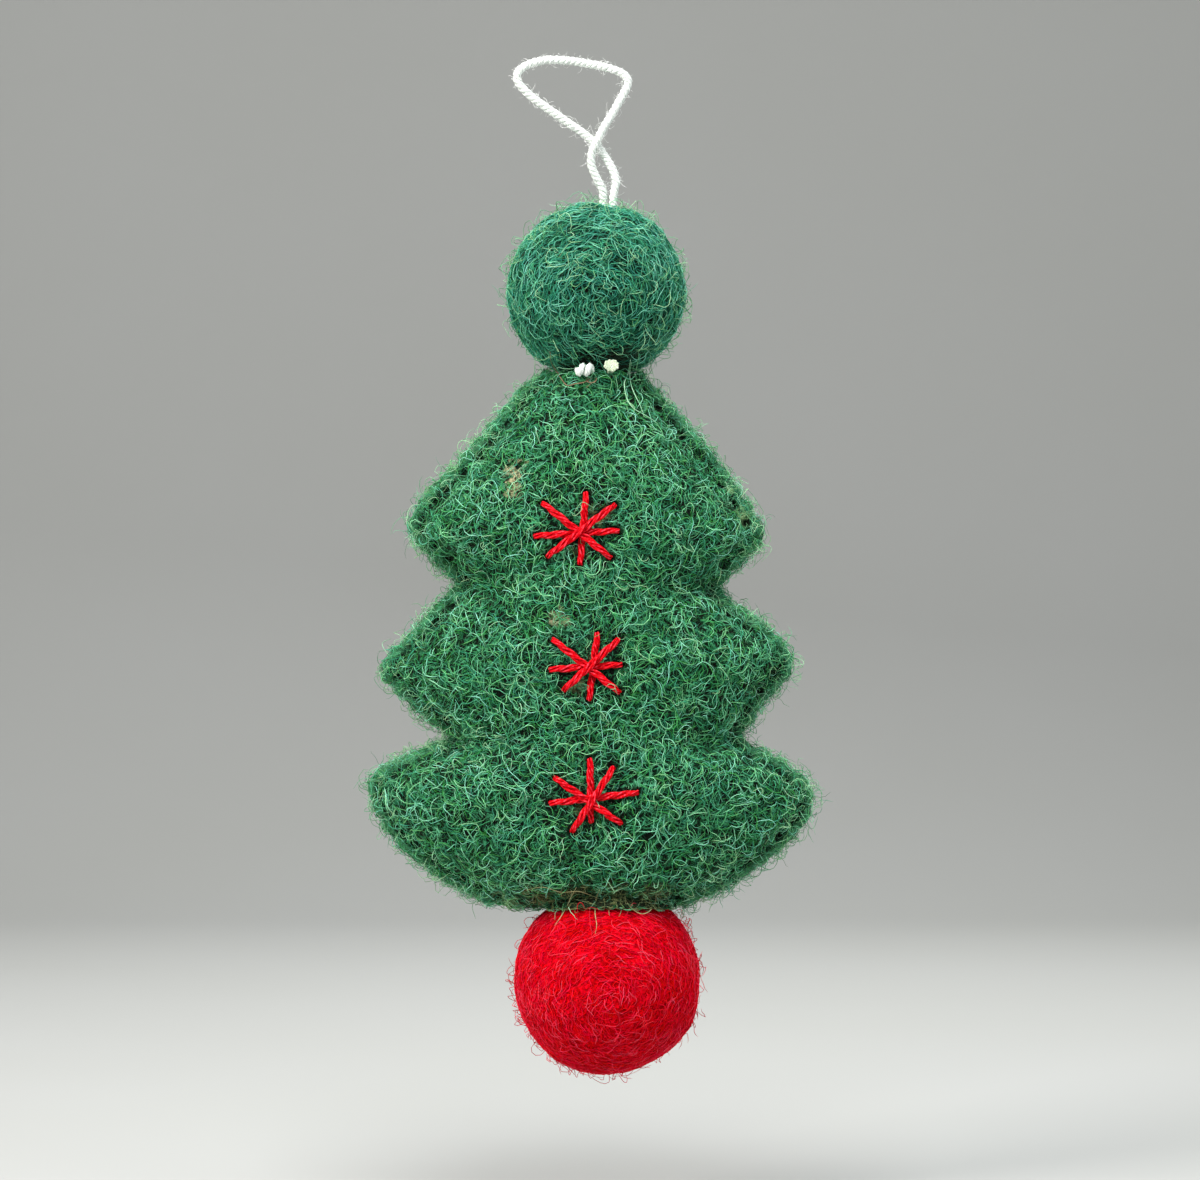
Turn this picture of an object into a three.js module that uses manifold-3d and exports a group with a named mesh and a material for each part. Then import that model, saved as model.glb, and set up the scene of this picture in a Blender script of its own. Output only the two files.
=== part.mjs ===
// Hanging ornament of wool felt: a cord loop, a felt ball threaded on the cord, a stuffed
// three-tier tree of two overcast panels with three embroidered stars, and a felt ball below.
// Millimetres, +Z up, the front faces -Y. The origin is where the loop hangs on its hook:
// the underside of the cord at the top of the loop, straight above the middle of the tree.
import * as THREE from 'three';
import { mergeVertices } from 'three/addons/utils/BufferGeometryUtils.js';
import Module from 'manifold-3d';

const wasm = await Module();
wasm.setup();
const { Manifold, Mesh: SolidMesh } = wasm;

// Overall sizes
const loopDrop = 17.85; // from the hook down to the top of the upper ball
const topBallRadius = 12.15;
const topBallSink = 1.65; // how far the upper ball presses into the tree's neck
const bodyHeight = 72.6;
const bodyHalfWidth = 29.8; // half the width of the lowest tier
const bodyHalfDepth = 11.4;
const bottomBallRadius = 12.5;
const bottomBallSink = 2.75;
const bottomBallOffset = 1.5; // the lower ball sits a little to the right

// Felt, thread and cord
const feltThickness = 2.2;
const edgeHalfThickness = 1.1; // the two pinched panels at the seam
const seamGap = 0.3; // between the two panels
const fillingClearance = 0.3;
const fillingEdgeInset = 3.2; // from the outline to the filling, square to the edge
const fillingTopInset = 5.6;
const fillingBottomInset = 6.4;
const fillingEndShare = 0.5; // its fullness at its flat top and bottom
const seatClearance = 0.3;
const cordDiameter = 1.0;
const boreClearance = 0.3;
const cordExitOffset = 1.65; // the two runs leave the upper ball a little to the right
const cordSpacing = 1.36; // between the middles of the two runs
const cutOverrun = 3;

// Knot and cut tail at the front of the neck
const knotStandoff = 2.09; // from where the upper ball enters the neck to the middle of the knot
const knotOffset = 1.5; // to the left
const knotTurns = 2;
const knotPitch = 1.45;
const knotRadius = 0.55; // at the middle of the cord
const knotRootDrop = 3;
const knotMouthDrop = 1.6;
const knotRootShare = 0.5;
const knotMouthShare = 0.86;
const tailOffset = 2.05;
const tailReach = 0.6;
const tailRise = 0.7;
const tailEndRadius = 0.95;
const tailFlareLength = 1.6;
const tailFlareShare = 0.75; // of that length, taken by the opening itself

// Thread that holds the lower ball
const baseThreadDiameter = 0.6;
const baseThreadSpacing = 2.4;
const baseThreadReach = 12; // up into the filling
const baseThreadCover = 1.2; // felt under its lowest bite

// Seam stitches
const seamPitch = 3.6;
const seamInset = 1.7;
const seamThreadDiameter = 0.5;
const seamThreadLift = 0.27; // thread clear of the felt
const seamTurnLift = 0.2; // further out where it turns at a hole
const seamOverShare = 0.6; // way from a hole to the edge, where it lies on the felt's shoulder
const seamHoleWidth = 0.95;
const seamHoleSpacing = 1.9; // least distance between two holes
const seamTopMargin = 2.6; // from the neck, along the edge, to the first stitch
const seamBottomMargin = 2.4;

// Stars
const starRadius = 5.4;
const flossWidth = 0.92;
const flossThickness = 0.46;
const flossGap = 0.22; // between stitches that cross
const flossLift = 0.3; // between the lowest stitch and the felt
const flossLegDepth = 1.2;
const flossPocketWidth = 1.6;
const dimpleDepth = 0.8;
const dimpleSpread = 3.2;
const bridgePower = 6; // how late a stitch drops towards its ends

// Fineness of the faceted forms
const bodyColumns = 6; // each side of the middle
const fillingColumns = 4;
const leastRow = 0.9; // least height between two rows of the body
const ballAround = 24;
const ballRings = 16;
const cordSides = 8;
const threadSides = 4;
const flossSides = 6;
const flossSteps = 8;
const knotMarks = 8; // points for each wrap
const tailSides = 10;
const bendMarks = 6;
const cordStepDiameters = 1.3;
const spreadSteps = [-1, -0.5, 0, 0.5, 1]; // places that an inset or a direction is taken over
const nearlyParallel = 0.98;
const mergeDistance = 1e-5;

// Derived places
const cordRadius = cordDiameter / 2;
const topBallZ = -loopDrop - topBallRadius;
const bodyTopZ = topBallZ - topBallRadius + topBallSink;
const bodyBottomZ = bodyTopZ - bodyHeight;
const bottomBallZ = bodyBottomZ - bottomBallRadius + bottomBallSink;
const ballReachAtNeck = Math.sqrt(topBallRadius ** 2 - (topBallRadius - topBallSink) ** 2);
const neckReach = ballReachAtNeck + knotStandoff; // from the middle plane to the knot

// Edges of the tree from the neck down: [share of the height, share of the half width]
const leftEdgeShares = [
  [0, 0.238], [0.037, 0.33], [0.104, 0.462], [0.171, 0.603], [0.225, 0.744], [0.281, 0.837],
  [0.307, 0.835], [0.362, 0.698], [0.382, 0.643], [0.401, 0.627], [0.428, 0.693], [0.502, 0.861],
  [0.548, 0.966], [0.572, 0.954], [0.643, 0.76], [0.684, 0.629], [0.697, 0.712], [0.725, 0.885],
  [0.758, 1.02], [0.781, 1.018], [0.81, 0.995], [0.882, 0.882], [0.942, 0.683], [0.98, 0.52],
  [1, 0.372],
];
const rightEdgeShares = [
  [0, 0.209], [0.033, 0.255], [0.089, 0.381], [0.165, 0.538], [0.217, 0.63], [0.29, 0.743],
  [0.318, 0.751], [0.377, 0.61], [0.398, 0.555], [0.428, 0.585], [0.472, 0.75], [0.511, 0.857],
  [0.539, 0.884], [0.567, 0.876], [0.61, 0.768], [0.649, 0.704], [0.68, 0.648], [0.697, 0.685],
  [0.73, 0.85], [0.77, 0.966], [0.799, 0.975], [0.835, 0.958], [0.89, 0.828], [0.952, 0.625],
  [0.989, 0.425], [1, 0.36],
];
// Fullness of the stuffing: [share of the height, share of the half depth]
const crownShares = [
  [0, 0.1], [0.02, 0.56], [0.05, 0.66], [0.1, 0.74], [0.2, 0.87], [0.3, 0.95], [0.4, 0.93],
  [0.55, 1], [0.68, 0.96], [0.79, 1], [0.88, 0.93], [0.94, 0.76], [0.98, 0.48], [1, 0.1],
];
const crownPower = 2.3;
const crownRoundness = 0.85;

// Straight stitches of each star: ends as shares of the star's radius, right and up from its
// middle. The first lies lowest, the last on top.
const stars = [
  {
    name: 'top_star',
    rightShare: -0.071,
    downShare: 0.3015,
    stitches: [
      ['upright', [0.15, 0.92], [0.01, -0.8]],
      ['level', [-1.1, -0.13], [0.93, 0]],
      ['falling', [-0.9, 0.67], [0.74, -0.65]],
      ['rising', [-0.78, -0.62], [0.85, 0.63]],
    ],
  },
  {
    name: 'middle_star',
    rightShare: -0.026,
    downShare: 0.548,
    stitches: [
      ['upright', [0.18, 0.8], [-0.02, -0.8]],
      ['level', [-0.97, -0.07], [0.75, 0.05]],
      ['falling', [-0.9, 0.66], [0.71, -0.62]],
      ['rising', [-0.64, -0.57], [0.69, 0.66]],
    ],
  },
  {
    name: 'bottom_star',
    rightShare: -0.022,
    downShare: 0.786,
    stitches: [
      ['upright', [-0.02, 0.93], [0, -0.59]],
      ['level', [-0.99, -0.13], [1.13, 0.13]],
      ['falling', [-0.88, 0.49], [0.73, -0.62]],
      ['rising', [-0.46, -0.82], [0.54, 0.73]],
    ],
  },
];

// Free cord: its route from the left exit, round the loop and back to the right exit
const cordRoute = [
  [0.97, 0, -17.36], [0.86, -0.05, -16.2], [0.05, -0.2, -14.6], [-0.62, -0.4, -12.9],
  [-0.55, -0.6, -11.3], [0, -0.7, -10], [0.95, -0.65, -8.1], [2.15, -0.4, -6.1],
  [3.45, -0.2, -3.8], [4.25, 0, -2.15], [4.2, 0, -1.2], [3.3, 0, -0.4], [1.3, 0, 0.28],
  [-0.95, 0, 0.74], [-3.1, 0, 1.1], [-5.7, 0, 1.3], [-7.6, 0, 1.12], [-9.45, 0, 0.5],
  [-10.4, 0, -0.25], [-10.68, 0, -1.15], [-10.2, 0, -2.2], [-8.9, 0.1, -3.5],
  [-7.15, 0.25, -4.8], [-5.4, 0.4, -6], [-3.65, 0.55, -7.2], [-1.75, 0.65, -8.5],
  [0, 0.7, -10], [1.35, 0.6, -11.9], [2.3, 0.4, -13.6], [2.7, 0.2, -15], [2.5, 0.05, -16.3],
  [2.33, 0, -17.36],
];

const greens = { tree: 0x3c7852, ball: 0x397d60, thread: 0x2f6a48 };
const reds = { ball: 0xd80d22, floss: 0xdc202b };
const whites = { cord: 0xf2f6f2, tail: 0xe4e8d2, filling: 0xece8dc };
const roughness = { felt: 0.95, cord: 0.8, thread: 0.75, floss: 0.6 };

// Small helpers

function mix(from, to, share) {
  return from + (to - from) * share;
}

// Value of a table of [place, value] at a place, straight between its entries
function lookUp(table, place) {
  const next = table.findIndex(([at]) => at >= place);
  if (next === 0) return table[0][1];
  if (next < 0) return table[table.length - 1][1];
  const [a, valueA] = table[next - 1];
  const [b, valueB] = table[next];
  return mix(valueA, valueB, (place - a) / (b - a));
}

function toSolid(geometry) {
  const bare = geometry.index ? geometry.clone() : geometry;
  for (const name of ['normal', 'uv']) bare.deleteAttribute(name);
  const merged = mergeVertices(bare, mergeDistance);
  const mesh = new SolidMesh({
    numProp: 3,
    vertProperties: new Float32Array(merged.attributes.position.array),
    triVerts: new Uint32Array(merged.index.array),
  });
  return new Manifold(mesh);
}

function toGeometry(solid) {
  const mesh = solid.getMesh();
  const geometry = new THREE.BufferGeometry();
  geometry.setAttribute('position', new THREE.BufferAttribute(mesh.vertProperties, 3));
  geometry.setIndex(new THREE.BufferAttribute(mesh.triVerts, 1));
  geometry.computeVertexNormals();
  return geometry;
}

// Closed mesh through rings of points, each ring turning the same way, with flat ends
function loftRings(rings) {
  const count = rings[0].length;
  const positions = rings.flat().flatMap((p) => [p.x, p.y, p.z]);
  const indices = [];
  for (let r = 0; r + 1 < rings.length; r += 1) {
    for (let i = 0; i < count; i += 1) {
      const a = r * count + i;
      const b = r * count + ((i + 1) % count);
      indices.push(a, b, b + count, a, b + count, a + count);
    }
  }
  const addEnd = (ring, offset, flip) => {
    const centre = ring.reduce((sum, p) => sum.add(p), new THREE.Vector3());
    centre.divideScalar(count);
    const hub = positions.length / 3;
    positions.push(centre.x, centre.y, centre.z);
    for (let i = 0; i < count; i += 1) {
      const a = offset + i;
      const b = offset + ((i + 1) % count);
      if (flip) indices.push(hub, b, a);
      else indices.push(hub, a, b);
    }
  };
  addEnd(rings[0], 0, true);
  addEnd(rings[rings.length - 1], (rings.length - 1) * count, false);
  const geometry = new THREE.BufferGeometry();
  geometry.setAttribute('position', new THREE.Float32BufferAttribute(positions, 3));
  geometry.setIndex(indices);
  return geometry;
}

// Oval section carried along a chain of points. Where no way up is given, it is carried along.
function sweep(points, halfWidth, halfThickness, sides, wayUp) {
  const rings = [];
  let carried = wayUp ? wayUp.clone() : new THREE.Vector3(0, 0, 1);
  points.forEach((point, index) => {
    const before = points[Math.max(index - 1, 0)];
    const after = points[Math.min(index + 1, points.length - 1)];
    const into = point.clone().sub(before).normalize();
    const out = after.clone().sub(point).normalize();
    const along = into.add(out).normalize();
    if (Math.abs(along.dot(carried)) > nearlyParallel) carried = new THREE.Vector3(1, 0, 0);
    const side = new THREE.Vector3().crossVectors(along, carried).normalize();
    const up = new THREE.Vector3().crossVectors(side, along).normalize();
    carried = up.clone();
    const ring = [];
    for (let i = 0; i < sides; i += 1) {
      const angle = (-2 * Math.PI * (i + 0.5)) / sides;
      ring.push(
        point
          .clone()
          .addScaledVector(side, halfWidth * Math.cos(angle))
          .addScaledVector(up, halfThickness * Math.sin(angle)),
      );
    }
    rings.push(ring);
  });
  return loftRings(rings);
}

function vector(x, y, z) {
  return new THREE.Vector3(x, y, z);
}

function ball(radius, x, z, around, rings) {
  const geometry = new THREE.SphereGeometry(radius, around, rings);
  geometry.rotateX(Math.PI / 2);
  geometry.translate(x, 0, z);
  return geometry;
}

function box(width, depth, height, x, y, z, turn) {
  const geometry = new THREE.BoxGeometry(width, depth, height);
  if (turn) geometry.rotateY(turn);
  geometry.translate(x, y, z);
  return geometry;
}

function part(name, geometry, color, rough) {
  const material = new THREE.MeshStandardMaterial({ color, roughness: rough, metalness: 0 });
  const mesh = new THREE.Mesh(geometry, material);
  mesh.name = name;
  return mesh;
}

// The tree's surface

function leftX(share) {
  return -bodyHalfWidth * lookUp(leftEdgeShares, share);
}

function rightX(share) {
  return bodyHalfWidth * lookUp(rightEdgeShares, share);
}

function bodyZ(share) {
  return bodyTopZ - bodyHeight * share;
}

function starX(star) {
  return star.rightShare * bodyHalfWidth;
}

function crown(across) {
  return Math.max(0, 1 - Math.abs(across) ** crownPower) ** crownRoundness;
}

// Half depth of the stuffed body where it is seen at x and at a share of its height
function depthAt(x, share) {
  const left = leftX(share);
  const right = rightX(share);
  const across = (2 * x - left - right) / (right - left);
  const full = bodyHalfDepth * lookUp(crownShares, share);
  return edgeHalfThickness + Math.max(0, full - edgeHalfThickness) * crown(Math.min(1, Math.abs(across)));
}

function dimpleAt(x, share) {
  let sum = 0;
  for (const star of stars) {
    const distance = Math.hypot(x - starX(star), (share - star.downShare) * bodyHeight);
    sum += dimpleDepth * Math.exp(-((distance / dimpleSpread) ** 2));
  }
  return sum;
}

function frontY(x, share) {
  return -depthAt(x, share) + dimpleAt(x, share);
}

// Rows at every corner of both edges and at the stars, so no tip or notch is cut short
function rowShares() {
  const marks = [...leftEdgeShares, ...rightEdgeShares, ...crownShares].map(([at]) => at);
  marks.push(...stars.map((star) => star.downShare));
  marks.sort((a, b) => a - b);
  const leastRowShare = leastRow / bodyHeight;
  const rows = [0];
  for (const mark of marks) {
    if (mark - rows[rows.length - 1] > leastRowShare && mark < 1 - leastRowShare) rows.push(mark);
  }
  rows.push(1);
  return rows;
}

function acrossShares(count) {
  return Array.from({ length: 2 * count + 1 }, (_, i) => Math.sin(((i - count) / count) * (Math.PI / 2)));
}

function bodyGeometry() {
  const columns = acrossShares(bodyColumns);
  const rings = rowShares().map((share) => {
    const left = leftX(share);
    const right = rightX(share);
    const xs = columns.map((across) => mix(left, right, (across + 1) / 2));
    const front = xs.map((x) => vector(x, frontY(x, share), bodyZ(share)));
    const back = xs.map((x) => vector(x, depthAt(x, share), bodyZ(share))).reverse();
    return [...front, ...back];
  });
  return loftRings(rings.map((ring) => [...ring].reverse()));
}

// An edge drawn in by an inset that is measured square to it, also where it runs nearly level
function drawnInX(xAt, side, share, inset) {
  const places = spreadSteps.map((step) => {
    const x = xAt(share + (step * inset) / bodyHeight);
    return side * x - inset * Math.sqrt(1 - step ** 2);
  });
  return side * Math.min(...places);
}

// The space for the filling, drawn in from the outer surface. Extra inset makes the filling.
function fillingGeometry(inset) {
  const top = (fillingTopInset + inset) / bodyHeight;
  const bottom = 1 - (fillingBottomInset + inset) / bodyHeight;
  const rows = rowShares().filter((share, i) => i % 2 === 0 && share > top && share < bottom);
  const columns = acrossShares(fillingColumns);
  const edge = fillingEdgeInset + inset;
  const rim = edgeHalfThickness / 2;
  const rings = [top, ...rows, bottom].map((share, i, all) => {
    const left = drawnInX(leftX, -1, share, edge);
    const right = drawnInX(rightX, 1, share, edge);
    const end = i === 0 || i === all.length - 1;
    const stuffed = bodyHalfDepth * lookUp(crownShares, share) - feltThickness - inset;
    const full = end ? stuffed * fillingEndShare : stuffed;
    const point = (across, sign) => {
      const depth = Math.max(rim - inset, (full - dimpleDepth) * crown(across));
      return vector(mix(left, right, (across + 1) / 2), sign * depth, bodyZ(share));
    };
    return [...columns.map((c) => point(c, -1)), ...columns.map((c) => point(c, 1)).reverse()];
  });
  return loftRings(rings.map((ring) => [...ring].reverse()));
}

// The seam: holes along one edge, and the thread that goes over the edge and through them

function edgePath(side) {
  const table = side < 0 ? leftEdgeShares : rightEdgeShares;
  const xAt = side < 0 ? leftX : rightX;
  return table.map(([share]) => new THREE.Vector2(xAt(share), bodyZ(share)));
}

function pathLength(path) {
  return path.slice(1).reduce((sum, point, i) => sum + point.distanceTo(path[i]), 0);
}

// Place on the edge at a distance from its top, with the direction out of the felt
function edgePlace(path, distance, side) {
  let left = distance;
  let i = 0;
  while (i + 2 < path.length && left > path[i].distanceTo(path[i + 1])) {
    left -= path[i].distanceTo(path[i + 1]);
    i += 1;
  }
  const along = path[i + 1].clone().sub(path[i]).normalize();
  const at = path[i].clone().addScaledVector(along, left);
  return { at, out: new THREE.Vector2(-along.y * side, along.x * side) };
}

// Direction out of the felt averaged over a stretch, so that it turns gently at a tip
function edgeFrame(path, distance, side) {
  const out = new THREE.Vector2();
  for (const step of spreadSteps) {
    out.add(edgePlace(path, distance + step * seamInset, side).out);
  }
  return { at: edgePlace(path, distance, side).at, out: out.normalize() };
}

function seamStitches(side) {
  const path = edgePath(side);
  const end = pathLength(path) - seamBottomMargin;
  const stitches = [];
  for (let distance = seamTopMargin; distance < end; distance += seamPitch) {
    const frame = edgeFrame(path, distance, side);
    const hole = frame.at.clone().addScaledVector(frame.out, -seamInset);
    const last = stitches[stitches.length - 1];
    if (!last || last.hole.distanceTo(hole) > seamHoleSpacing) {
      stitches.push({ distance, hole, ...frame });
    }
  }
  return { path, stitches };
}

function shareAt(z) {
  return (bodyTopZ - z) / bodyHeight;
}

function seamHoles(side) {
  return seamStitches(side).stitches.map(({ hole, out }) =>
    toSolid(
      box(
        seamHoleWidth,
        2 * (bodyHalfDepth + cutOverrun),
        seamHoleWidth,
        hole.x,
        0,
        hole.y,
        -Math.atan2(out.y, out.x),
      ),
    ),
  );
}

function seamThread(side) {
  const { path, stitches } = seamStitches(side);
  const lift = seamThreadLift + seamThreadDiameter / 2;
  const over = (place, extra = 0) => depthAt(place.x, shareAt(place.y)) + lift + extra;
  const points = [];
  stitches.forEach(({ distance, hole, out }, index) => {
    const depth = over(hole);
    const lean = hole.clone().addScaledVector(out, seamTurnLift);
    points.push(vector(hole.x, depth, hole.y), vector(hole.x, -depth, hole.y));
    const next = stitches[index + 1];
    if (!next) return;
    points.push(vector(lean.x, -over(lean, seamTurnLift), lean.y));
    const middle = edgeFrame(path, (distance + next.distance) / 2, side);
    const inner = middle.at.clone().addScaledVector(middle.out, -seamInset / 2);
    const rim = middle.at.clone().addScaledVector(middle.out, lift);
    const first = lean.clone().lerp(inner, seamOverShare);
    const nextLean = next.hole.clone().addScaledVector(next.out, seamTurnLift);
    const second = nextLean.clone().lerp(inner, seamOverShare);
    points.push(vector(first.x, -over(first, seamTurnLift), first.y));
    points.push(vector(rim.x, -edgeHalfThickness, rim.y), vector(rim.x, edgeHalfThickness, rim.y));
    points.push(vector(second.x, over(second, seamTurnLift), second.y));
    points.push(vector(nextLean.x, over(nextLean, seamTurnLift), nextLean.y));
  });
  const radius = seamThreadDiameter / 2;
  return sweep(points, radius, radius, threadSides);
}

// The stars: stitches that lie on the felt, cross in layers and dive in at both ends

function stitchPlaces(star, stitch) {
  const [, from, to] = stitch;
  return [from, to].map(([right, up]) => {
    const x = starX(star) + right * starRadius;
    return { x, share: star.downShare - (up * starRadius) / bodyHeight };
  });
}

function stitchGeometry(star, layer) {
  const [from, to] = stitchPlaces(star, star.stitches[layer]);
  const step = flossThickness + flossGap;
  const rise = flossLift + flossThickness / 2;
  const points = [];
  for (let i = 0; i <= flossSteps; i += 1) {
    const x = mix(from.x, to.x, i / flossSteps);
    const share = mix(from.share, to.share, i / flossSteps);
    const flat = 1 - Math.abs((2 * i) / flossSteps - 1) ** bridgePower;
    points.push(vector(x, frontY(x, share) - rise - layer * step * flat, bodyZ(share)));
  }
  for (const [place, add] of [[from, 'unshift'], [to, 'push']]) {
    points[add](vector(place.x, frontY(place.x, place.share) + flossLegDepth, bodyZ(place.share)));
  }
  return sweep(points, flossWidth / 2, flossThickness / 2, flossSides, vector(0, -1, 0));
}

function starPockets() {
  const depth = 2 * (flossLegDepth + flossLift);
  return stars.flatMap((star) =>
    star.stitches.flatMap((stitch) =>
      stitchPlaces(star, stitch).map(({ x, share }) =>
        toSolid(box(flossPocketWidth, depth, flossPocketWidth, x, frontY(x, share), bodyZ(share))),
      ),
    ),
  );
}

// The cord: the free loop, its runs inside the ball, and its knot and cut tail at the neck

function polygon(radius, sides) {
  const shape = new THREE.Shape();
  for (let i = 0; i < sides; i += 1) {
    const angle = (2 * Math.PI * (i + 0.5)) / sides;
    const point = [radius * Math.cos(angle), radius * Math.sin(angle)];
    if (i === 0) shape.moveTo(...point);
    else shape.lineTo(...point);
  }
  shape.closePath();
  return shape;
}

function smoothTube(points, radius, stepLength) {
  const curve = new THREE.CatmullRomCurve3(points, false, 'centripetal');
  const steps = Math.max(2, Math.round(curve.getLength() / stepLength));
  return new THREE.ExtrudeGeometry(polygon(radius, cordSides), { steps, extrudePath: curve });
}

function hangingCord() {
  const points = cordRoute.map(([x, y, z]) => vector(x, y, z));
  return smoothTube(points, cordRadius, cordDiameter * cordStepDiameters);
}

function topBallSurface(x, sign) {
  return topBallZ + sign * Math.sqrt(topBallRadius ** 2 - x ** 2);
}

function runEnds(side) {
  const top = cordExitOffset + (side * cordSpacing) / 2;
  const bottom = (side * cordSpacing) / 2;
  return [vector(top, 0, topBallSurface(top, 1)), vector(bottom, 0, topBallSurface(bottom, -1))];
}

function cordRun(side) {
  return sweep(runEnds(side), cordRadius, cordRadius, cordSides);
}

function cordBore(side) {
  const [top, bottom] = runEnds(side);
  const along = top.clone().sub(bottom).normalize();
  const ends = [
    top.clone().addScaledVector(along, cutOverrun),
    bottom.clone().addScaledVector(along, -cutOverrun),
  ];
  const radius = cordRadius + boreClearance;
  return toSolid(sweep(ends, radius, radius, cordSides));
}

const knotMiddle = vector(-knotOffset, -neckReach, bodyTopZ);

// From inside the neck out through the felt, two wraps side by side, and back in
function knotPath() {
  const first = -(knotTurns * knotPitch) / 2;
  const points = [
    vector(-cordSpacing / 2, -neckReach * knotRootShare, bodyTopZ - knotRootDrop),
    vector(knotMiddle.x + first, -neckReach * knotMouthShare, bodyTopZ - knotMouthDrop),
  ];
  for (let i = 1; i < knotMarks * knotTurns; i += 1) {
    const turn = (2 * Math.PI * i) / knotMarks;
    points.push(
      vector(
        knotMiddle.x + first + (knotPitch * i) / knotMarks,
        knotMiddle.y + knotRadius * Math.cos(turn),
        knotMiddle.z - knotRadius * Math.sin(turn),
      ),
    );
  }
  points.push(
    vector(knotMiddle.x - first, -neckReach * knotMouthShare, bodyTopZ - knotMouthDrop),
    vector(knotMiddle.x - first, -neckReach * knotRootShare, bodyTopZ - knotRootDrop),
  );
  return points;
}

function tailEnds() {
  return [
    vector(cordSpacing, -neckReach * knotRootShare, bodyTopZ - knotRootDrop),
    vector(tailOffset, -neckReach - tailReach, bodyTopZ + tailRise),
  ];
}

// A stub of cord whose cut end has opened like a small brush
function cordTail() {
  const [root, end] = tailEnds();
  const length = end.distanceTo(root);
  const profile = [
    [0, 0],
    [cordRadius, 0],
    [cordRadius, length - tailFlareLength],
    [tailEndRadius, length - tailFlareLength * (1 - tailFlareShare)],
    [tailEndRadius, length],
    [0, length],
  ];
  const geometry = new THREE.LatheGeometry(profile.map(([r, h]) => new THREE.Vector2(r, h)), tailSides);
  const turn = new THREE.Quaternion().setFromUnitVectors(
    vector(0, 1, 0),
    end.clone().sub(root).normalize(),
  );
  geometry.applyQuaternion(turn);
  geometry.translate(root.x, root.y, root.z);
  return geometry;
}

// Ways for the cord through the neck's felt
function neckTunnels() {
  const radius = cordRadius + boreClearance;
  const path = knotPath();
  const last = path.length - 1;
  const ends = [[path[0], path[1]], [path[last], path[last - 1]], tailEnds()];
  return ends.map(([root, mouth]) => {
    const along = mouth.clone().sub(root).normalize();
    const start = root.clone().addScaledVector(along, -boreClearance);
    const end = mouth.clone().addScaledVector(along, cordRadius);
    return toSolid(sweep([start, end], radius, radius, cordSides));
  });
}

// Thread that sews the lower ball on: down through it, a small bite at its foot and back up
function basePath(overrun) {
  const low = bottomBallZ - bottomBallRadius + baseThreadCover + baseThreadSpacing / 2;
  const high = bodyBottomZ + baseThreadReach + overrun;
  const points = [vector(bottomBallOffset - baseThreadSpacing / 2, 0, high)];
  for (let i = 0; i <= bendMarks; i += 1) {
    const turn = (Math.PI * i) / bendMarks;
    points.push(
      vector(
        bottomBallOffset - (baseThreadSpacing / 2) * Math.cos(turn),
        0,
        low - (baseThreadSpacing / 2) * Math.sin(turn),
      ),
    );
  }
  points.push(vector(bottomBallOffset + baseThreadSpacing / 2, 0, high));
  return points;
}

function baseThread(extraRadius, overrun) {
  const radius = baseThreadDiameter / 2 + extraRadius;
  return sweep(basePath(overrun), radius, radius, cordSides);
}

// Cuts

function cut(solid, tools) {
  return tools.reduce((rest, tool) => rest.subtract(tool), solid);
}

function halfSpace(side) {
  const depth = 2 * (bodyHalfDepth + cutOverrun);
  const y = side * (depth / 2 + seamGap / 2);
  return toSolid(box(4 * bodyHalfWidth, depth, 2 * bodyHeight, 0, y, (bodyTopZ + bodyBottomZ) / 2));
}

function buildOrnament() {
  const group = new THREE.Group();
  const add = (name, shape, color, rough = roughness.felt) => {
    group.add(part(name, shape instanceof Manifold ? toGeometry(shape) : shape, color, rough));
  };
  const body = toSolid(bodyGeometry());
  const cavity = toSolid(fillingGeometry(0));
  const seats = [
    toSolid(ball(topBallRadius + seatClearance, 0, topBallZ, ballAround, ballRings)),
    toSolid(ball(bottomBallRadius + seatClearance, bottomBallOffset, bottomBallZ, ballAround, ballRings)),
  ];
  const holes = [...seamHoles(-1), ...seamHoles(1)];
  const baseBore = toSolid(baseThread(boreClearance, boreClearance));
  const panel = (side, tools) =>
    cut(body.intersect(halfSpace(side)), [cavity, ...seats, ...holes, baseBore, ...tools]);

  add('hanging_cord', hangingCord(), whites.cord, roughness.cord);
  add('cord_run_left', cordRun(-1), whites.cord, roughness.cord);
  add('cord_run_right', cordRun(1), whites.cord, roughness.cord);
  const topBall = toSolid(ball(topBallRadius, 0, topBallZ, ballAround, ballRings));
  add('top_ball', cut(topBall, [cordBore(-1), cordBore(1)]), greens.ball);
  add('neck_knot', smoothTube(knotPath(), cordRadius, cordRadius), whites.cord, roughness.cord);
  add('cord_tail_end', cordTail(), whites.tail, roughness.cord);

  add('front_panel', panel(-1, [...starPockets(), ...neckTunnels()]), greens.tree);
  add('back_panel', panel(1, []), greens.tree);
  add('fibre_filling', cut(toSolid(fillingGeometry(fillingClearance)), [baseBore]), whites.filling);
  add('seam_thread_left', seamThread(-1), greens.thread, roughness.thread);
  add('seam_thread_right', seamThread(1), greens.thread, roughness.thread);
  for (const star of stars) {
    star.stitches.forEach(([name], layer) => {
      add(`${star.name}_${name}_stitch`, stitchGeometry(star, layer), reds.floss, roughness.floss);
    });
  }

  const bottomBall = toSolid(ball(bottomBallRadius, bottomBallOffset, bottomBallZ, ballAround, ballRings));
  add('bottom_ball', cut(bottomBall, [baseBore]), reds.ball);
  add('base_thread', baseThread(0, 0), reds.ball, roughness.thread);
  return group;
}

export default buildOrnament();
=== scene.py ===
# Hanging felt tree ornament. Lengths in the settings are millimetres, meshes are in metres,
# +Z is up and the front faces -Y.
import math

import bmesh
import bpy
import numpy as np
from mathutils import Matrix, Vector, kdtree, noise


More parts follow.
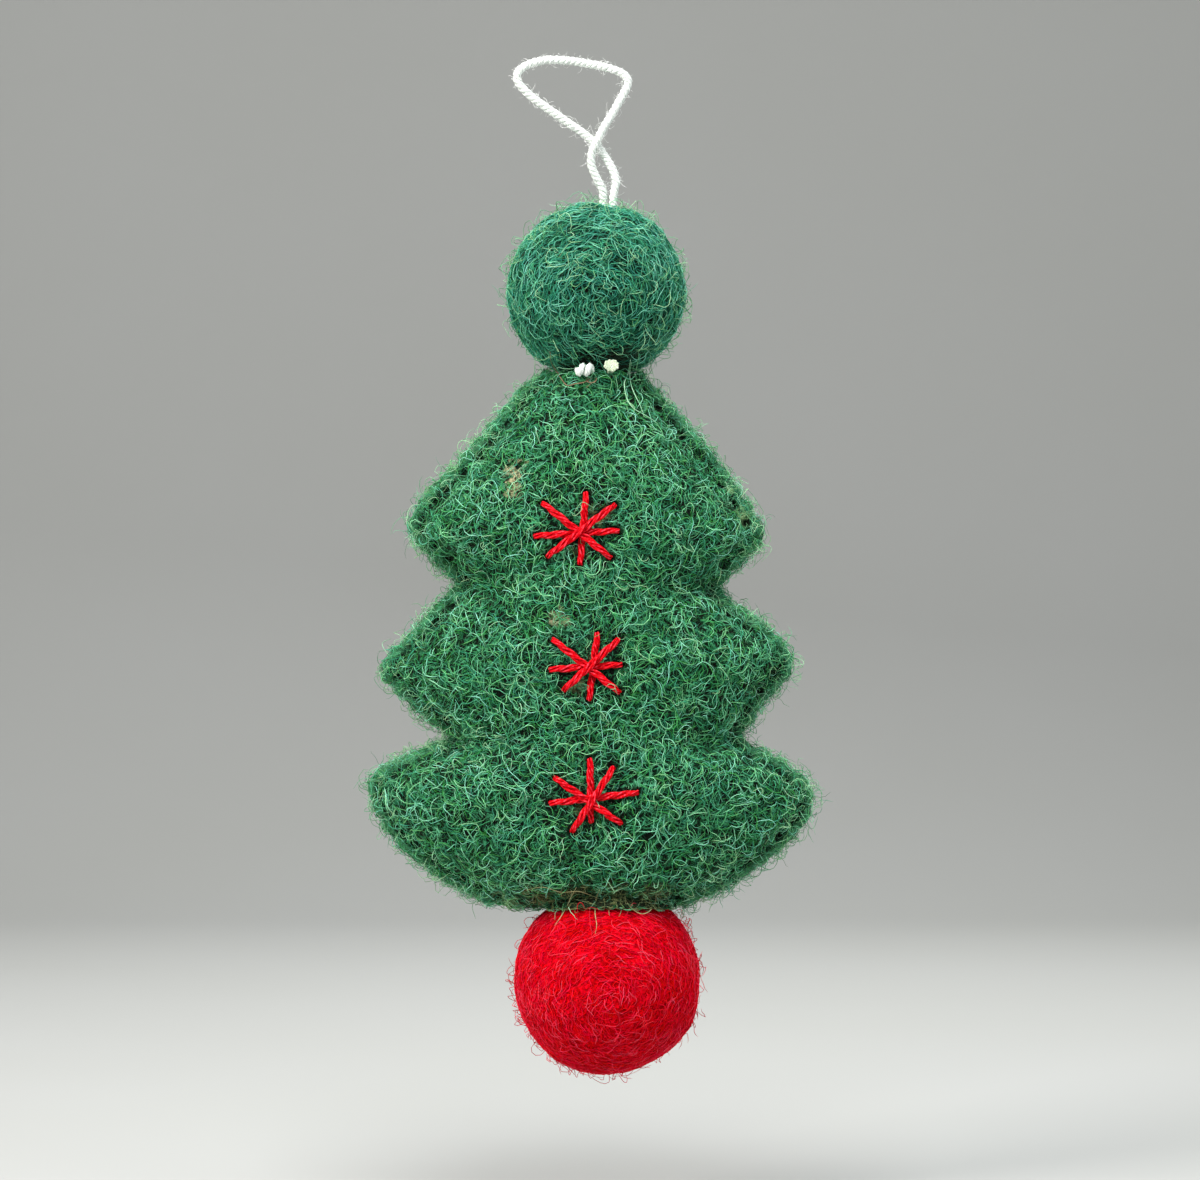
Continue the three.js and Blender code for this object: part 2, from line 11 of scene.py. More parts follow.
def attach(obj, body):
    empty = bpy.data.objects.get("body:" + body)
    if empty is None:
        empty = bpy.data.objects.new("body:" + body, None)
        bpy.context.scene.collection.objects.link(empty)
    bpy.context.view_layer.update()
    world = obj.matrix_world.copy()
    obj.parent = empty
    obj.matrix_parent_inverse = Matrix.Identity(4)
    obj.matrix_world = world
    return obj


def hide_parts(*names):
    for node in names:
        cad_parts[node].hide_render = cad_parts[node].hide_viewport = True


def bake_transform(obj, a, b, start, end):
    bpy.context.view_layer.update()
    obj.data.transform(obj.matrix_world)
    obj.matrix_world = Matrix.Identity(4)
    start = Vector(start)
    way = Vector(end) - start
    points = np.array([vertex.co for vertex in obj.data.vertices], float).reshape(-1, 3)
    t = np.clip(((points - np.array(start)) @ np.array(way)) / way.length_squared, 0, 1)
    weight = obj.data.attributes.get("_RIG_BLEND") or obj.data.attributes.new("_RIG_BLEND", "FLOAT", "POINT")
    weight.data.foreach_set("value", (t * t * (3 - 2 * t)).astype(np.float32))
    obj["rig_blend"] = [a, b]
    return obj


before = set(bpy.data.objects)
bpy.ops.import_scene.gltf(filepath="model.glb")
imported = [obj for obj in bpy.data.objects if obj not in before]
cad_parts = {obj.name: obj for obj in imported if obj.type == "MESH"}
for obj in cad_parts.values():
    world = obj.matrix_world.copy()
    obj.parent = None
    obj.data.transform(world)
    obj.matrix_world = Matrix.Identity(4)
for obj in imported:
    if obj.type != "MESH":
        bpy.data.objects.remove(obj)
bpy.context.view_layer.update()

metre = 0.001  # one millimetre
fullTurn = 2 * math.pi
fibreShare = 1.0
print("ornament: frame loaded")


# Small helpers

def linear(hexColour):
    channels = [int(hexColour[i:i + 2], 16) / 255 for i in (1, 3, 5)]
    return [c / 12.92 if c <= 0.04045 else ((c + 0.055) / 1.055) ** 2.4 for c in channels] + [1.0]


# Inputs come by name or number, or as a list in the order that the node shows them. A node
# among them stands for its first output in use.
def setInputs(tree, node, inputs):
    if isinstance(inputs, dict):
        pairs = ((node.inputs[key], value) for key, value in inputs.items())
    else:
        pairs = zip([socket for socket in node.inputs if socket.enabled], inputs)
    for socket, value in pairs:
        if isinstance(value, bpy.types.Node):
            value = next(output for output in value.outputs if output.enabled)
        if isinstance(value, bpy.types.NodeSocket):
            tree.links.new(value, socket)
        else:
            socket.default_value = value


def addNode(tree, kind, inputs=(), **settings):
    node = tree.nodes.new(kind)
    for name, value in settings.items():
        setattr(node, name, value)
    setInputs(tree, node, inputs)
    return node


stepKinds = dict(
    mix=("ShaderNodeMix", dict(data_type="FLOAT")),
    mixWays=("ShaderNodeMix", dict(data_type="VECTOR")),
    mixColours=("ShaderNodeMix", dict(data_type="RGBA")),
    range=("ShaderNodeMapRange", {}),
    ease=("ShaderNodeMapRange", dict(interpolation_type="SMOOTHSTEP")),
    noise=("ShaderNodeTexNoise", {}),
    distance=("ShaderNodeVectorMath", dict(operation="DISTANCE")),
    cross=("ShaderNodeVectorMath", dict(operation="CROSS_PRODUCT")),
    unit=("ShaderNodeVectorMath", dict(operation="NORMALIZE")),
    scale=("ShaderNodeVectorMath", dict(operation="SCALE")),
    plus=("ShaderNodeVectorMath", dict(operation="ADD")),
    minus=("ShaderNodeVectorMath", dict(operation="SUBTRACT")),
)


# Adds a row of nodes: each step is a name, a word from the list above or a Math operation,
# and the inputs. A name among the inputs stands for what is known, "name.Output" for another
# output than its first.
def addSteps(tree, known, steps):
    for name, word, *inputs in steps:
        kind, settings = stepKinds.get(word, ("ShaderNodeMath", dict(operation=word)))
        for place, value in enumerate(inputs):
            if isinstance(value, str):
                source, _, output = value.partition(".")
                inputs[place] = known[source].outputs[output] if output else known[source]
        known[name] = addNode(tree, kind, inputs, **settings)
    return known[name]


# "Distance" marks an input that is a length
def newTree(name, inputs):
    tree = bpy.data.node_groups.new(name, "GeometryNodeTree")
    for label, kind in inputs.items():
        kind, subtype = ("Float", "DISTANCE") if kind == "Distance" else (kind, None)
        socket = tree.interface.new_socket(name=label, in_out="INPUT",
                                           socket_type="NodeSocket" + kind)
        if subtype:
            socket.subtype = subtype
    tree.interface.new_socket(name="Geometry", in_out="OUTPUT", socket_type="NodeSocketGeometry")
    given = addNode(tree, "NodeGroupInput").outputs
    return tree, {socket.name: socket for socket in given}


def newObject(name, mesh):
    made = bpy.data.objects.new(name, mesh)
    bpy.context.scene.collection.objects.link(made)
    return made


def meshFrom(name, points, faces=(), edges=()):
    mesh = bpy.data.meshes.new(name)
    mesh.from_pydata([tuple(p) for p in np.asarray(points) * metre], edges, faces)
    if len(faces):
        mesh.shade_smooth()
    mesh.update()
    return newObject(name, mesh)


def storeValues(made, **marks):
    for name, values in marks.items():
        values = np.asarray(values, np.float32)
        isVector = values.ndim == 2
        kind = "FLOAT_VECTOR" if isVector else "FLOAT"
        attribute = made.data.attributes.new(name, kind, "POINT")
        attribute.data.foreach_set("vector" if isVector else "value", values.ravel())


# Runs a node tree on an object's mesh and keeps the result as a plain mesh of its own
def runTree(source, tree, name, settings, keep=()):
    worker = newObject(name + "_worker", source.data)
    modifier = worker.modifiers.new("nodes", "NODES")
    modifier.node_group = tree
    for item in tree.interface.items_tree:
        if item.in_out == "INPUT" and item.name in settings:
            value = settings[item.name]
            if item.socket_type == "NodeSocketFloat":
                value = float(value * metre if item.subtype == "DISTANCE" else value)
            modifier[item.identifier] = value
    seen = worker.evaluated_get(bpy.context.evaluated_depsgraph_get())
    mesh = bpy.data.meshes.new_from_object(seen)
    mesh.name = name
    worker.modifiers.remove(modifier)
    bpy.data.objects.remove(worker)
    for label in [a.name for a in mesh.attributes]:
        built = label.startswith(".") or label in ("position", "sharp_face", "material_index")
        if not built and label not in keep:
            mesh.attributes.remove(mesh.attributes[label])
    return newObject(name, mesh)


def joinMeshes(first, *others):
    bpy.ops.object.select_all(action="DESELECT")
    for piece in (first, *others):
        piece.select_set(True)
    bpy.context.view_layer.objects.active = first
    bpy.ops.object.join()
    return first


def finishPiece(piece, body, replaced=None, material=None):
    if material:
        piece.data.materials.clear()
        piece.data.materials.append(material)
    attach(piece, body)
    if replaced:
        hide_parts(replaced)


def smoothCurve(points, stepLength):
    points = [Vector(p) for p in points]
    dense = []
    padded = [points[0] * 2 - points[1], *points, points[-1] * 2 - points[-2]]
    for a, b, c, d in zip(padded, padded[1:], padded[2:], padded[3:]):
        count = max(1, round((c - b).length / stepLength))
        for i in range(count):
            t = i / count
            dense.append(
                0.5 * (2 * b + (c - a) * t + (2 * a - 5 * b + 4 * c - d) * t ** 2
                       + (3 * b - a - 3 * c + d) * t ** 3)
            )
    dense.append(points[-1])
    return np.array(dense)


def smoothStep(values, low, high):
    share = np.clip((values - low) / (high - low), 0, 1)
    return share * share * (3 - 2 * share)


# Camera, where the photograph was taken from

camera = dict(lens=105, sensor=36, place=(0.54, -472, -70.2), turn=(90, 0, 0), nearest=10)


def addCamera():
    data = bpy.data.cameras.new("photo camera")
    data.lens = camera["lens"]
    data.sensor_width = camera["sensor"]
    data.sensor_fit = "HORIZONTAL"
    data.clip_start = camera["nearest"] * metre
    held = newObject("photo camera", data)
    held.location = [c * metre for c in camera["place"]]
    held.rotation_euler = [math.radians(a) for a in camera["turn"]]
    bpy.context.scene.camera = held


addCamera()
print("ornament: camera placed")


# Colours and finishes

# Each wool runs from dark to light: lower fibres and felt pockets take the dark end as painted shade, and
# the upper curl layers are painted paler than the mats
woolColours = dict(
    tree=dict(dark="#03371e", mid="#2c8c5c", light="#82d4a8"),
    treeCurl=dict(dark="#105c3a", mid="#46b280", light="#a4f4d0"),
    treeBase=dict(pocket="#000502", dark="#05301a", mid="#226e46", light="#5cb084"),
    ball=dict(dark="#01231a", mid="#126e54", light="#50b492"),
    ballCurl=dict(dark="#084c3a", mid="#2c9676", light="#8ee2c2"),
    ballBase=dict(pocket="#000403", dark="#02261c", mid="#125844", light="#409c7c"),
    red=dict(dark="#c0000c", mid="#ee0016", light="#fa1c36"),
    redCurl=dict(dark="#d80014", mid="#f6122e", light="#ff566e"),
    redBase=dict(pocket="#9c0008", dark="#c4000c", mid="#e40014", light="#f60a24"),
    strayGreen=dict(dark="#2f7450", mid="#5aa57c", light="#a9dcb0"),
    strayRed=dict(dark="#a0020c", mid="#cc1020", light="#f23c52"),
    fuzz=dict(dark="#e6ebe6", mid="#f2f5f1", light="#ffffff"),
    filling=dict(pocket="#b3ada0", dark="#cfcabd", mid="#e4dfd2", light="#f4f1e8"),
)
# the darkest olive is olive felt with painted shade where the lower edge turns under
# the rim colour is partly the felt's own and partly a painted highlight
patchColours = dict(burr="#cdc49a", brown="#6e7048", olive="#8a8858", oliveAndShade="#2c2c16",
                    hole="#1c200e", pale="#b2dc9c", palerGap="#3c7a4e", rimBandAndGlow="#4f9c70")
patchEdge = dict(ragged=2.4, outer=2.1, inner=1.6)  # in shares of the patch's radius
# how often each soft noise repeats in a metre: 1000 is once in a millimetre
perMetre = dict(cloud=170, feltCloud=260, ragged=800, fine=2600, fleck=2600, drift=620.0,
                weave=900.0, paper=9.0)


def newMaterial(name, roughness, specular=0.5, sheen=0.0, sheenRoughness=0.5,
                sheenTint="#ffffff"):
    made = bpy.data.materials.new(name)
    made.use_nodes = True
    tree = made.node_tree
    shader = tree.nodes["Principled BSDF"]
    setInputs(tree, shader, {"Roughness": roughness, "Specular IOR Level": specular,
                             "Sheen Weight": sheen, "Sheen Roughness": sheenRoughness,
                             "Sheen Tint": linear(sheenTint)})
    place = addNode(tree, "ShaderNodeTexCoord").outputs["Object"]
    return made, tree, shader, dict(place=place)


# Gives a colour ramp its stops, (place, colour) from the first to the last
def setStops(ramp, stops):
    first, *between, last = stops
    elements = ramp.color_ramp.elements
    for element, (place, colour) in zip(elements, (first, last)):
        element.position, element.color = place, linear(colour)
    for place, colour in between:
        elements.new(place).color = linear(colour)
    return ramp.outputs["Color"]


# Other wool that shows near a place: ragged at its edge, and broken up
def addPatches(tree, known, patches):
    addSteps(tree, known, [("ragged", "noise", "place", perMetre["ragged"], 2),
                           ("fine", "noise", "place", perMetre["fine"], 1),
                           ("broken", "range", "fine", 0.4, 0.5, 0.15)])
    for centre, radius, colour, gapColour, strength in patches:
        wide = radius * metre
        addSteps(tree, known, [
            ("away", "distance", "place", [c * metre for c in centre]),
            ("rough", "MULTIPLY_ADD", "ragged", wide * patchEdge["ragged"], "away"),
            ("share", "ease", "rough", wide * patchEdge["outer"], wide * patchEdge["inner"],
             0.0, strength),
            ("netted", "mixColours", "broken", linear(gapColour), linear(colour)),
            ("colour", "mixColours", "share", "colour", "netted"),
        ])


def finishMaterial(made, tree, shader, known, strength=0.0, depth=0.0):
    setInputs(tree, shader, {"Base Color": known["colour"]})
    if depth:
        bump = addNode(tree, "ShaderNodeBump", {"Strength": strength, "Distance": depth * metre,
                                                "Height": known["height"]})
        setInputs(tree, shader, {"Normal": bump})
    return made


# Single wool fibres, each with its own tint and hue: soft, slightly glossy dyed wool.
# The tint is partly chance and partly painted shade, darker on the lower fibres.
def woolFibre(name, colours, patches=(), hues=(0.44, 0.53), specular=0.2,
              sheen=(0.25, "#74c080")):
    made, tree, shader, known = newMaterial(name, 0.55, specular, sheen[0], sheenTint=sheen[1])
    for label in ("tint", "hue"):
        known[label] = addNode(tree, "ShaderNodeAttribute", attribute_name=label).outputs["Fac"]
    addSteps(tree, known, [
        ("cloud", "noise", "place", perMetre["cloud"], 3),
        ("shade", "MULTIPLY_ADD", "cloud", 0.5, "tint"), ("moved", "SUBTRACT", "shade", 0.25),
        ("turned", "range", "hue", 0.0, 1.0, *hues)])
    ramp = addNode(tree, "ShaderNodeValToRGB", [known["moved"]])
    blend = setStops(ramp, ((0.15, colours["dark"]), (0.5, colours["mid"]),
                            (0.88, colours["light"])))
    known["colour"] = addNode(tree, "ShaderNodeHueSaturation",
                              {"Hue": known["turned"], "Color": blend})
    addPatches(tree, known, patches)
    return finishMaterial(made, tree, shader, known)


# Three nets of strands: how far each is shifted, how often its noise repeats in a grain,
# and how many strands its whole swing holds
strandNets = [(0.0, 1.15, 3.4), (0.31, 0.9, 3.8), (0.57, 1.4, 2.8)]


# Matted felt under the loose fibres. Strands follow the level lines of soft noise, with painted
# shade in the pockets between them and the highest strands palest. One attribute paints shade
# into holes, gaps and under the lower edge; another makes the rim pale, partly as smoother felt
# and partly as a painted highlight.
def feltBase(name, colours, patches=(), grain=1.0, depth=0.16, sheenTint="#9fce9a",
             specular=0.15):
    made, tree, shader, known = newMaterial(name, 0.85, specular, 0.2, 0.4, sheenTint)
    grainSize = grain * metre
    for shift, often, turns in strandNets:
        addSteps(tree, known, [("moved", "plus", "place", (shift, shift, shift))])
        known["field"] = addNode(tree, "ShaderNodeTexNoise", {
            "Vector": known["moved"], "Scale": often / grainSize, "Detail": 0.5,
            "Distortion": 0.8})
        thread = "thread" if "strands" in known else "strands"
        addSteps(tree, known, [
            ("level", "MULTIPLY", "field", fullTurn * turns), ("wave", "SINE", "level"),
            ("fades", "noise", "moved", 1.3 / grainSize, 0.0),
            ("faded", "range", "fades", 0.36, 0.58, -1.3, 0.0), (thread, "ADD", "wave", "faded")])
        if thread == "thread":
            addSteps(tree, known, [("strands", "SMOOTH_MAX", "strands", "thread", 0.25)])
    addSteps(tree, known, [
        ("cloud", "noise", "place", perMetre["feltCloud"], 2),
        ("tone", "range", "cloud", 0.3, 0.7, -0.3, 0.3),
        ("height", "MULTIPLY_ADD", "strands", 0.8, "tone"),
        ("share", "range", "height", -0.4, 1.0)])
    # painted shade: the lowest strands and the pockets darkest, the highest palest
    ramp = addNode(tree, "ShaderNodeValToRGB", [known["share"]])
    known["colour"] = setStops(ramp, ((0.0, colours["pocket"]), (0.45, colours["dark"]),
                                      (0.75, colours["mid"]), (1.0, colours["light"])))
    addPatches(tree, known, patches)
    # painted shade in holes, gaps and under the lower edge, and a pale rim that is partly a painted
    # highlight
    for label, towards in (("rimBandAndGlow", patchColours["rimBandAndGlow"]), ("hollow", colours["pocket"])):
        known[label] = addNode(tree, "ShaderNodeAttribute", attribute_name=label).outputs["Fac"]
        addSteps(tree, known, [("colour", "mixColours", label, "colour", linear(towards))])
    return finishMaterial(made, tree, shader, known, 0.9, depth)


# Spun yarn: fine fibres that wind round each ply, drawn from the ply's own attributes, with painted
# shade in the grooves between them and a painted glint on their ridges
def spunYarn(name, colours, roughness, specular, lays=5, layLength=1.1):
    made, tree, shader, known = newMaterial(name, roughness, specular)
    for label, output in (("around", "Vector"), ("along", "Fac")):
        known[label] = addNode(tree, "ShaderNodeAttribute", attribute_name=label).outputs[output]
    known["parts"] = addNode(tree, "ShaderNodeSeparateXYZ", [known["around"]])
    windings = fullTurn * lays / (layLength * metre) / 3  # once round in three lay lengths
    addSteps(tree, known, [
        ("angle", "ARCTAN2", "parts.Y", "parts.X"), ("turned", "MULTIPLY", "angle", float(lays)),
        ("wound", "MULTIPLY_ADD", "along", windings, "turned"), ("ridge", "SINE", "wound"),
        ("fleck", "noise", "place", perMetre["fleck"], 3),
        ("height", "MULTIPLY_ADD", "ridge", 0.25, "fleck"),
        ("share", "range", "height", 0.15, 0.85)])
    # painted shade in the grooves, a painted glint on the ridges
    dark, plain, bright = colours
    ramp = addNode(tree, "ShaderNodeValToRGB", [known["share"]])
    known["colour"] = setStops(ramp, ((0.0, dark), (0.45, plain), (0.75, plain), (1.0, bright)))
    return finishMaterial(made, tree, shader, known, 0.6, 0.05)


# Places where other wool shows: (centre, radius, strength)
burrs = [((-11.1, -8.6, -54.4), 1.9, 0.95), ((-10.7, -8.6, -57.2), 1.5, 0.7),
         ((-4.9, -11.0, -74.0), 1.6, 0.45)]
brownPlaces = [((0.6, -11.0, -60.2), 1.9, 0.6), ((-1.9, -11.0, -64.6), 1.6, 0.5),
               ((-2.5, -11.0, -82.5), 1.8, 0.5), ((-0.8, -11.0, -80.0), 1.8, 0.4),
               ((-0.8, -11.0, -98.7), 2.4, 0.45)]
palePlaces = [((19.6, -2.0, -60.4), 1.7, 0.75), ((18.0, -2.6, -56.3), 1.0, 0.7),
              ((25.1, -2.0, -97.9), 1.2, 0.75), ((-12.0, -2.5, -112.4), 2.2, 0.6)]
# the lowest part of the tree, where the lower edge turns under: olive strands, over painted shade in the
# felt
lowPlaces = [((-7.5, -5.5, -112.2), 3.6, 0.85), ((-2.5, -7.0, -111.8), 3.8, 0.85),
             ((2.5, -7.0, -111.6), 3.8, 0.85), ((7.5, -6.0, -111.8), 3.6, 0.85)]


def patchesIn(places, word, gap="hole"):
    return [(centre, radius, patchColours[word], patchColours[gap], strength)
            for centre, radius, strength in places]


curlPatches = patchesIn(brownPlaces, "brown") + patchesIn(palePlaces, "pale", "palerGap")
treePatches = patchesIn(burrs, "burr") + curlPatches
redSheen = (0.1, "#ff1020")
redHues = (0.495, 0.503)

finishes = dict(
    # cotton: bleached, matt, loosely spun plies
    cotton=spunYarn("bleached cotton cord", ("#c6cec6", "#eef3ee", "#fbfffb"), 0.9, 0.15),
    cottonEnd=spunYarn("cut cotton end", ("#bccaa4", "#e2f0d4", "#f4fdec"), 0.9, 0.15),
    # mercerised cotton floss: smooth, with small glints painted along its plies
    floss=spunYarn("red embroidery floss", ("#8a0008", "#e00012", "#ff4e62"), 0.42, 0.06,
                   lays=3, layLength=1.5),
    # sewing thread: tightly spun, with a low gloss
    greenThread=spunYarn("green sewing thread", ("#1c5437", "#3c8a60", "#68b488"), 0.6, 0.4,
                         lays=3),
    redThread=spunYarn("red sewing thread", ("#8a0610", "#c80f1d", "#e8303c"), 0.6, 0.4, lays=3),
    # single long hairs: a dull gloss, with a pale stripe painted along each as shine
    strayHair=spunYarn("stray brown hair", ("#5a4a38", "#8e765a", "#b49c80"), 0.5, 0.3, lays=1),
    longFibre=spunYarn("long pale wool fibre", ("#78c090", "#a4dcb2", "#c4f0cc"), 0.55, 0.3,
                       lays=1),
    oliveFibre=spunYarn("long undyed wool fibre", ("#7c784c", "#aca878", "#d0cca0"), 0.55, 0.3,
                        lays=1),
    # felt: matted and quite dull, with painted shade between its strands
    filling=feltBase("polyester fibre filling", woolColours["filling"], sheenTint="#ffffff"),
    treeFelt=feltBase("matted green panel felt", woolColours["treeBase"],
                      treePatches + patchesIn(lowPlaces, "oliveAndShade")),
    ballFelt=feltBase("wet felted green ball", woolColours["ballBase"]),
    redFelt=feltBase("wet felted red ball", woolColours["redBase"], grain=0.8, depth=0.06,
                     sheenTint="#ff2028", specular=0.03),
    # wool fibres: a soft sheen where many lie together, the upper ones painted paler and the lower ones
    # darker, as painted shade
    treeWool=woolFibre("matted green wool fibres", woolColours["tree"],
                       treePatches + patchesIn(lowPlaces, "olive"), sheen=(0.08, "#74c080")),
    treeCurl=woolFibre("upper green wool fibres", woolColours["treeCurl"],
                       curlPatches + patchesIn(lowPlaces, "olive"), sheen=(0.12, "#74c080")),
    ballWool=woolFibre("matted dark green wool fibres", woolColours["ball"], hues=(0.46, 0.53),
                       sheen=(0.15, "#6cd890")),
    ballCurl=woolFibre("upper dark green wool fibres", woolColours["ballCurl"],
                       hues=(0.478, 0.524), sheen=(0.3, "#6cd890")),
    redWool=woolFibre("matted red wool fibres", woolColours["red"], (), redHues, 0.02, redSheen),
    redCurl=woolFibre("upper red wool fibres", woolColours["redCurl"], (), redHues, 0.06,
                      redSheen),
    strayWool=woolFibre("loose ends of green wool", woolColours["strayGreen"], hues=(0.46, 0.52)),
    strayRed=woolFibre("loose ends of red wool", woolColours["strayRed"], (), redHues, 0.06,
                       redSheen),
    cottonFuzz=woolFibre("cotton fuzz", woolColours["fuzz"], hues=(0.5, 0.5),
                         sheen=(0.0, "#ffffff")),
)
print("ornament: finishes mixed")


# Node trees for yarn, wool and the overcast stitches

goldenTurn = 2.39996  # lays the plies of a filled yarn like seeds in a flower head
# shares of a yarn's length: where its plies spread, and how far from its middle it thins
yarnForm = dict(spreadFrom=0.76, spreadTo=0.98, thinFrom=0.4, thinTo=0.84)
# a fibre's chance tint, how much paler the upper ones are (painted shade that leaves the lower ones
# darker), how deep they lie among each other, how a loose end climbs and by where it is free, and how thin
# and thick it gets
fibreForm = dict(tint=0.55, paler=0.45, sink=0.4, climbPower=1.4, freeBy=0.35,
                 thinTip=0.35, tipHeight=0.6, leastGirth=0.75, mostGirth=1.2)
fibreSides = 3
# an open ring round the rim, in degrees
overcastLoop = dict(marks=14, start=-125, sweep=250, sides=6)


# A ring drawn along the curves as a thread, then the end that the three trees share
def finishTree(tree, known, curves, sides, radius, ringMark=None):
    ring = addNode(tree, "GeometryNodeCurvePrimitiveCircle", {"Resolution": sides, "Radius": 1.0},
                   mode="RADIUS")
    if ringMark:
        ring = addNode(tree, "GeometryNodeStoreNamedAttribute",
                       {"Geometry": ring, "Name": ringMark,
                        "Value": addNode(tree, "GeometryNodeInputPosition")},
                       data_type="FLOAT_VECTOR", domain="POINT")
    tube = addNode(tree, "GeometryNodeCurveToMesh",
                   {"Curve": curves, "Profile Curve": ring, "Scale": radius, "Fill Caps": True})
    smooth = addNode(tree, "GeometryNodeSetShadeSmooth", {"Geometry": tube})
    real = addNode(tree, "GeometryNodeRealizeInstances", {"Geometry": smooth})
    dressed = addNode(tree, "GeometryNodeSetMaterial",
                      {"Geometry": real, "Material": known["material"]})
    addNode(tree, "NodeGroupOutput", {"Geometry": dressed})
    return tree


# Plies wound round a path. The path's points carry "side", square to the way it runs.
def yarnTree():
    tree, known = newTree("twisted yarn", dict(
        geometry="Geometry", plies="Int", plyRadius="Distance", halfWidth="Distance",
        halfThickness="Distance", pitch="Distance", filled="Float", flare="Float",
        taper="Float", sides="Int", material="Material"))
    line = addNode(tree, "GeometryNodeMeshToCurve", {"Mesh": known["geometry"]})
    copies = addNode(tree, "GeometryNodeDuplicateElements",
                     {"Geometry": line, "Amount": known["plies"]}, domain="SPLINE")
    known.update(
        number=copies.outputs["Duplicate Index"], run=addNode(tree, "GeometryNodeInputTangent"),
        whole=addNode(tree, "GeometryNodeSplineParameter"),
        side=addNode(tree, "GeometryNodeInputNamedAttribute", {"Name": "side"},
                     data_type="FLOAT_VECTOR"))
    offset = addSteps(tree, known, [
        ("ringStep", "DIVIDE", fullTurn, "plies"),
        ("step", "mix", "filled", "ringStep", goldenTurn),
        ("first", "MULTIPLY", "number", "step"),
        ("turns", "DIVIDE", "whole.Length", "pitch"),
        ("angle", "MULTIPLY_ADD", "turns", fullTurn, "first"),
        ("halfway", "ADD", "number", 0.5),
        ("packed", "DIVIDE", "halfway", "plies"),
        ("root", "SQRT", "packed"),
        ("inward", "mix", "filled", 1.0, "root"),
        ("opened", "ease", "whole.Factor", yarnForm["spreadFrom"], yarnForm["spreadTo"], 0.0, 1.0),
        ("spread", "MULTIPLY_ADD", "opened", "flare", 1.0),
        ("both", "MULTIPLY_ADD", "whole.Factor", 2.0, -1.0),
        ("fromMiddle", "ABSOLUTE", "both"),
        ("atEnd", "ease", "fromMiddle", yarnForm["thinFrom"], yarnForm["thinTo"], 0.0, "taper"),
        ("slim", "SUBTRACT", 1.0, "atEnd"),
        ("spread", "MULTIPLY", "spread", "slim"),
        ("girth", "MULTIPLY", "plyRadius", "slim"),
        ("reach", "MULTIPLY", "inward", "spread"),
        ("up", "cross", "side", "run"),
        ("cosine", "COSINE", "angle"),
        ("wide", "MULTIPLY", "cosine", "halfWidth"),
        ("wide", "MULTIPLY", "wide", "reach"),
        ("aside", "scale", "side", "wide"),
        ("sine", "SINE", "angle"),
        ("thick", "MULTIPLY", "sine", "halfThickness"),
        ("thick", "MULTIPLY", "thick", "reach"),
        ("over", "scale", "up", "thick"),
        ("offset", "plus", "aside", "over"),
    ])
    marked = addNode(tree, "GeometryNodeStoreNamedAttribute",
                     {"Geometry": copies, "Name": "along",
                      "Value": known["whole"].outputs["Length"]},
                     data_type="FLOAT", domain="POINT")
    laid = addNode(tree, "GeometryNodeSetPosition", {"Geometry": marked, "Offset": offset})
    return finishTree(tree, known, laid, known["sides"], known["girth"], "around")


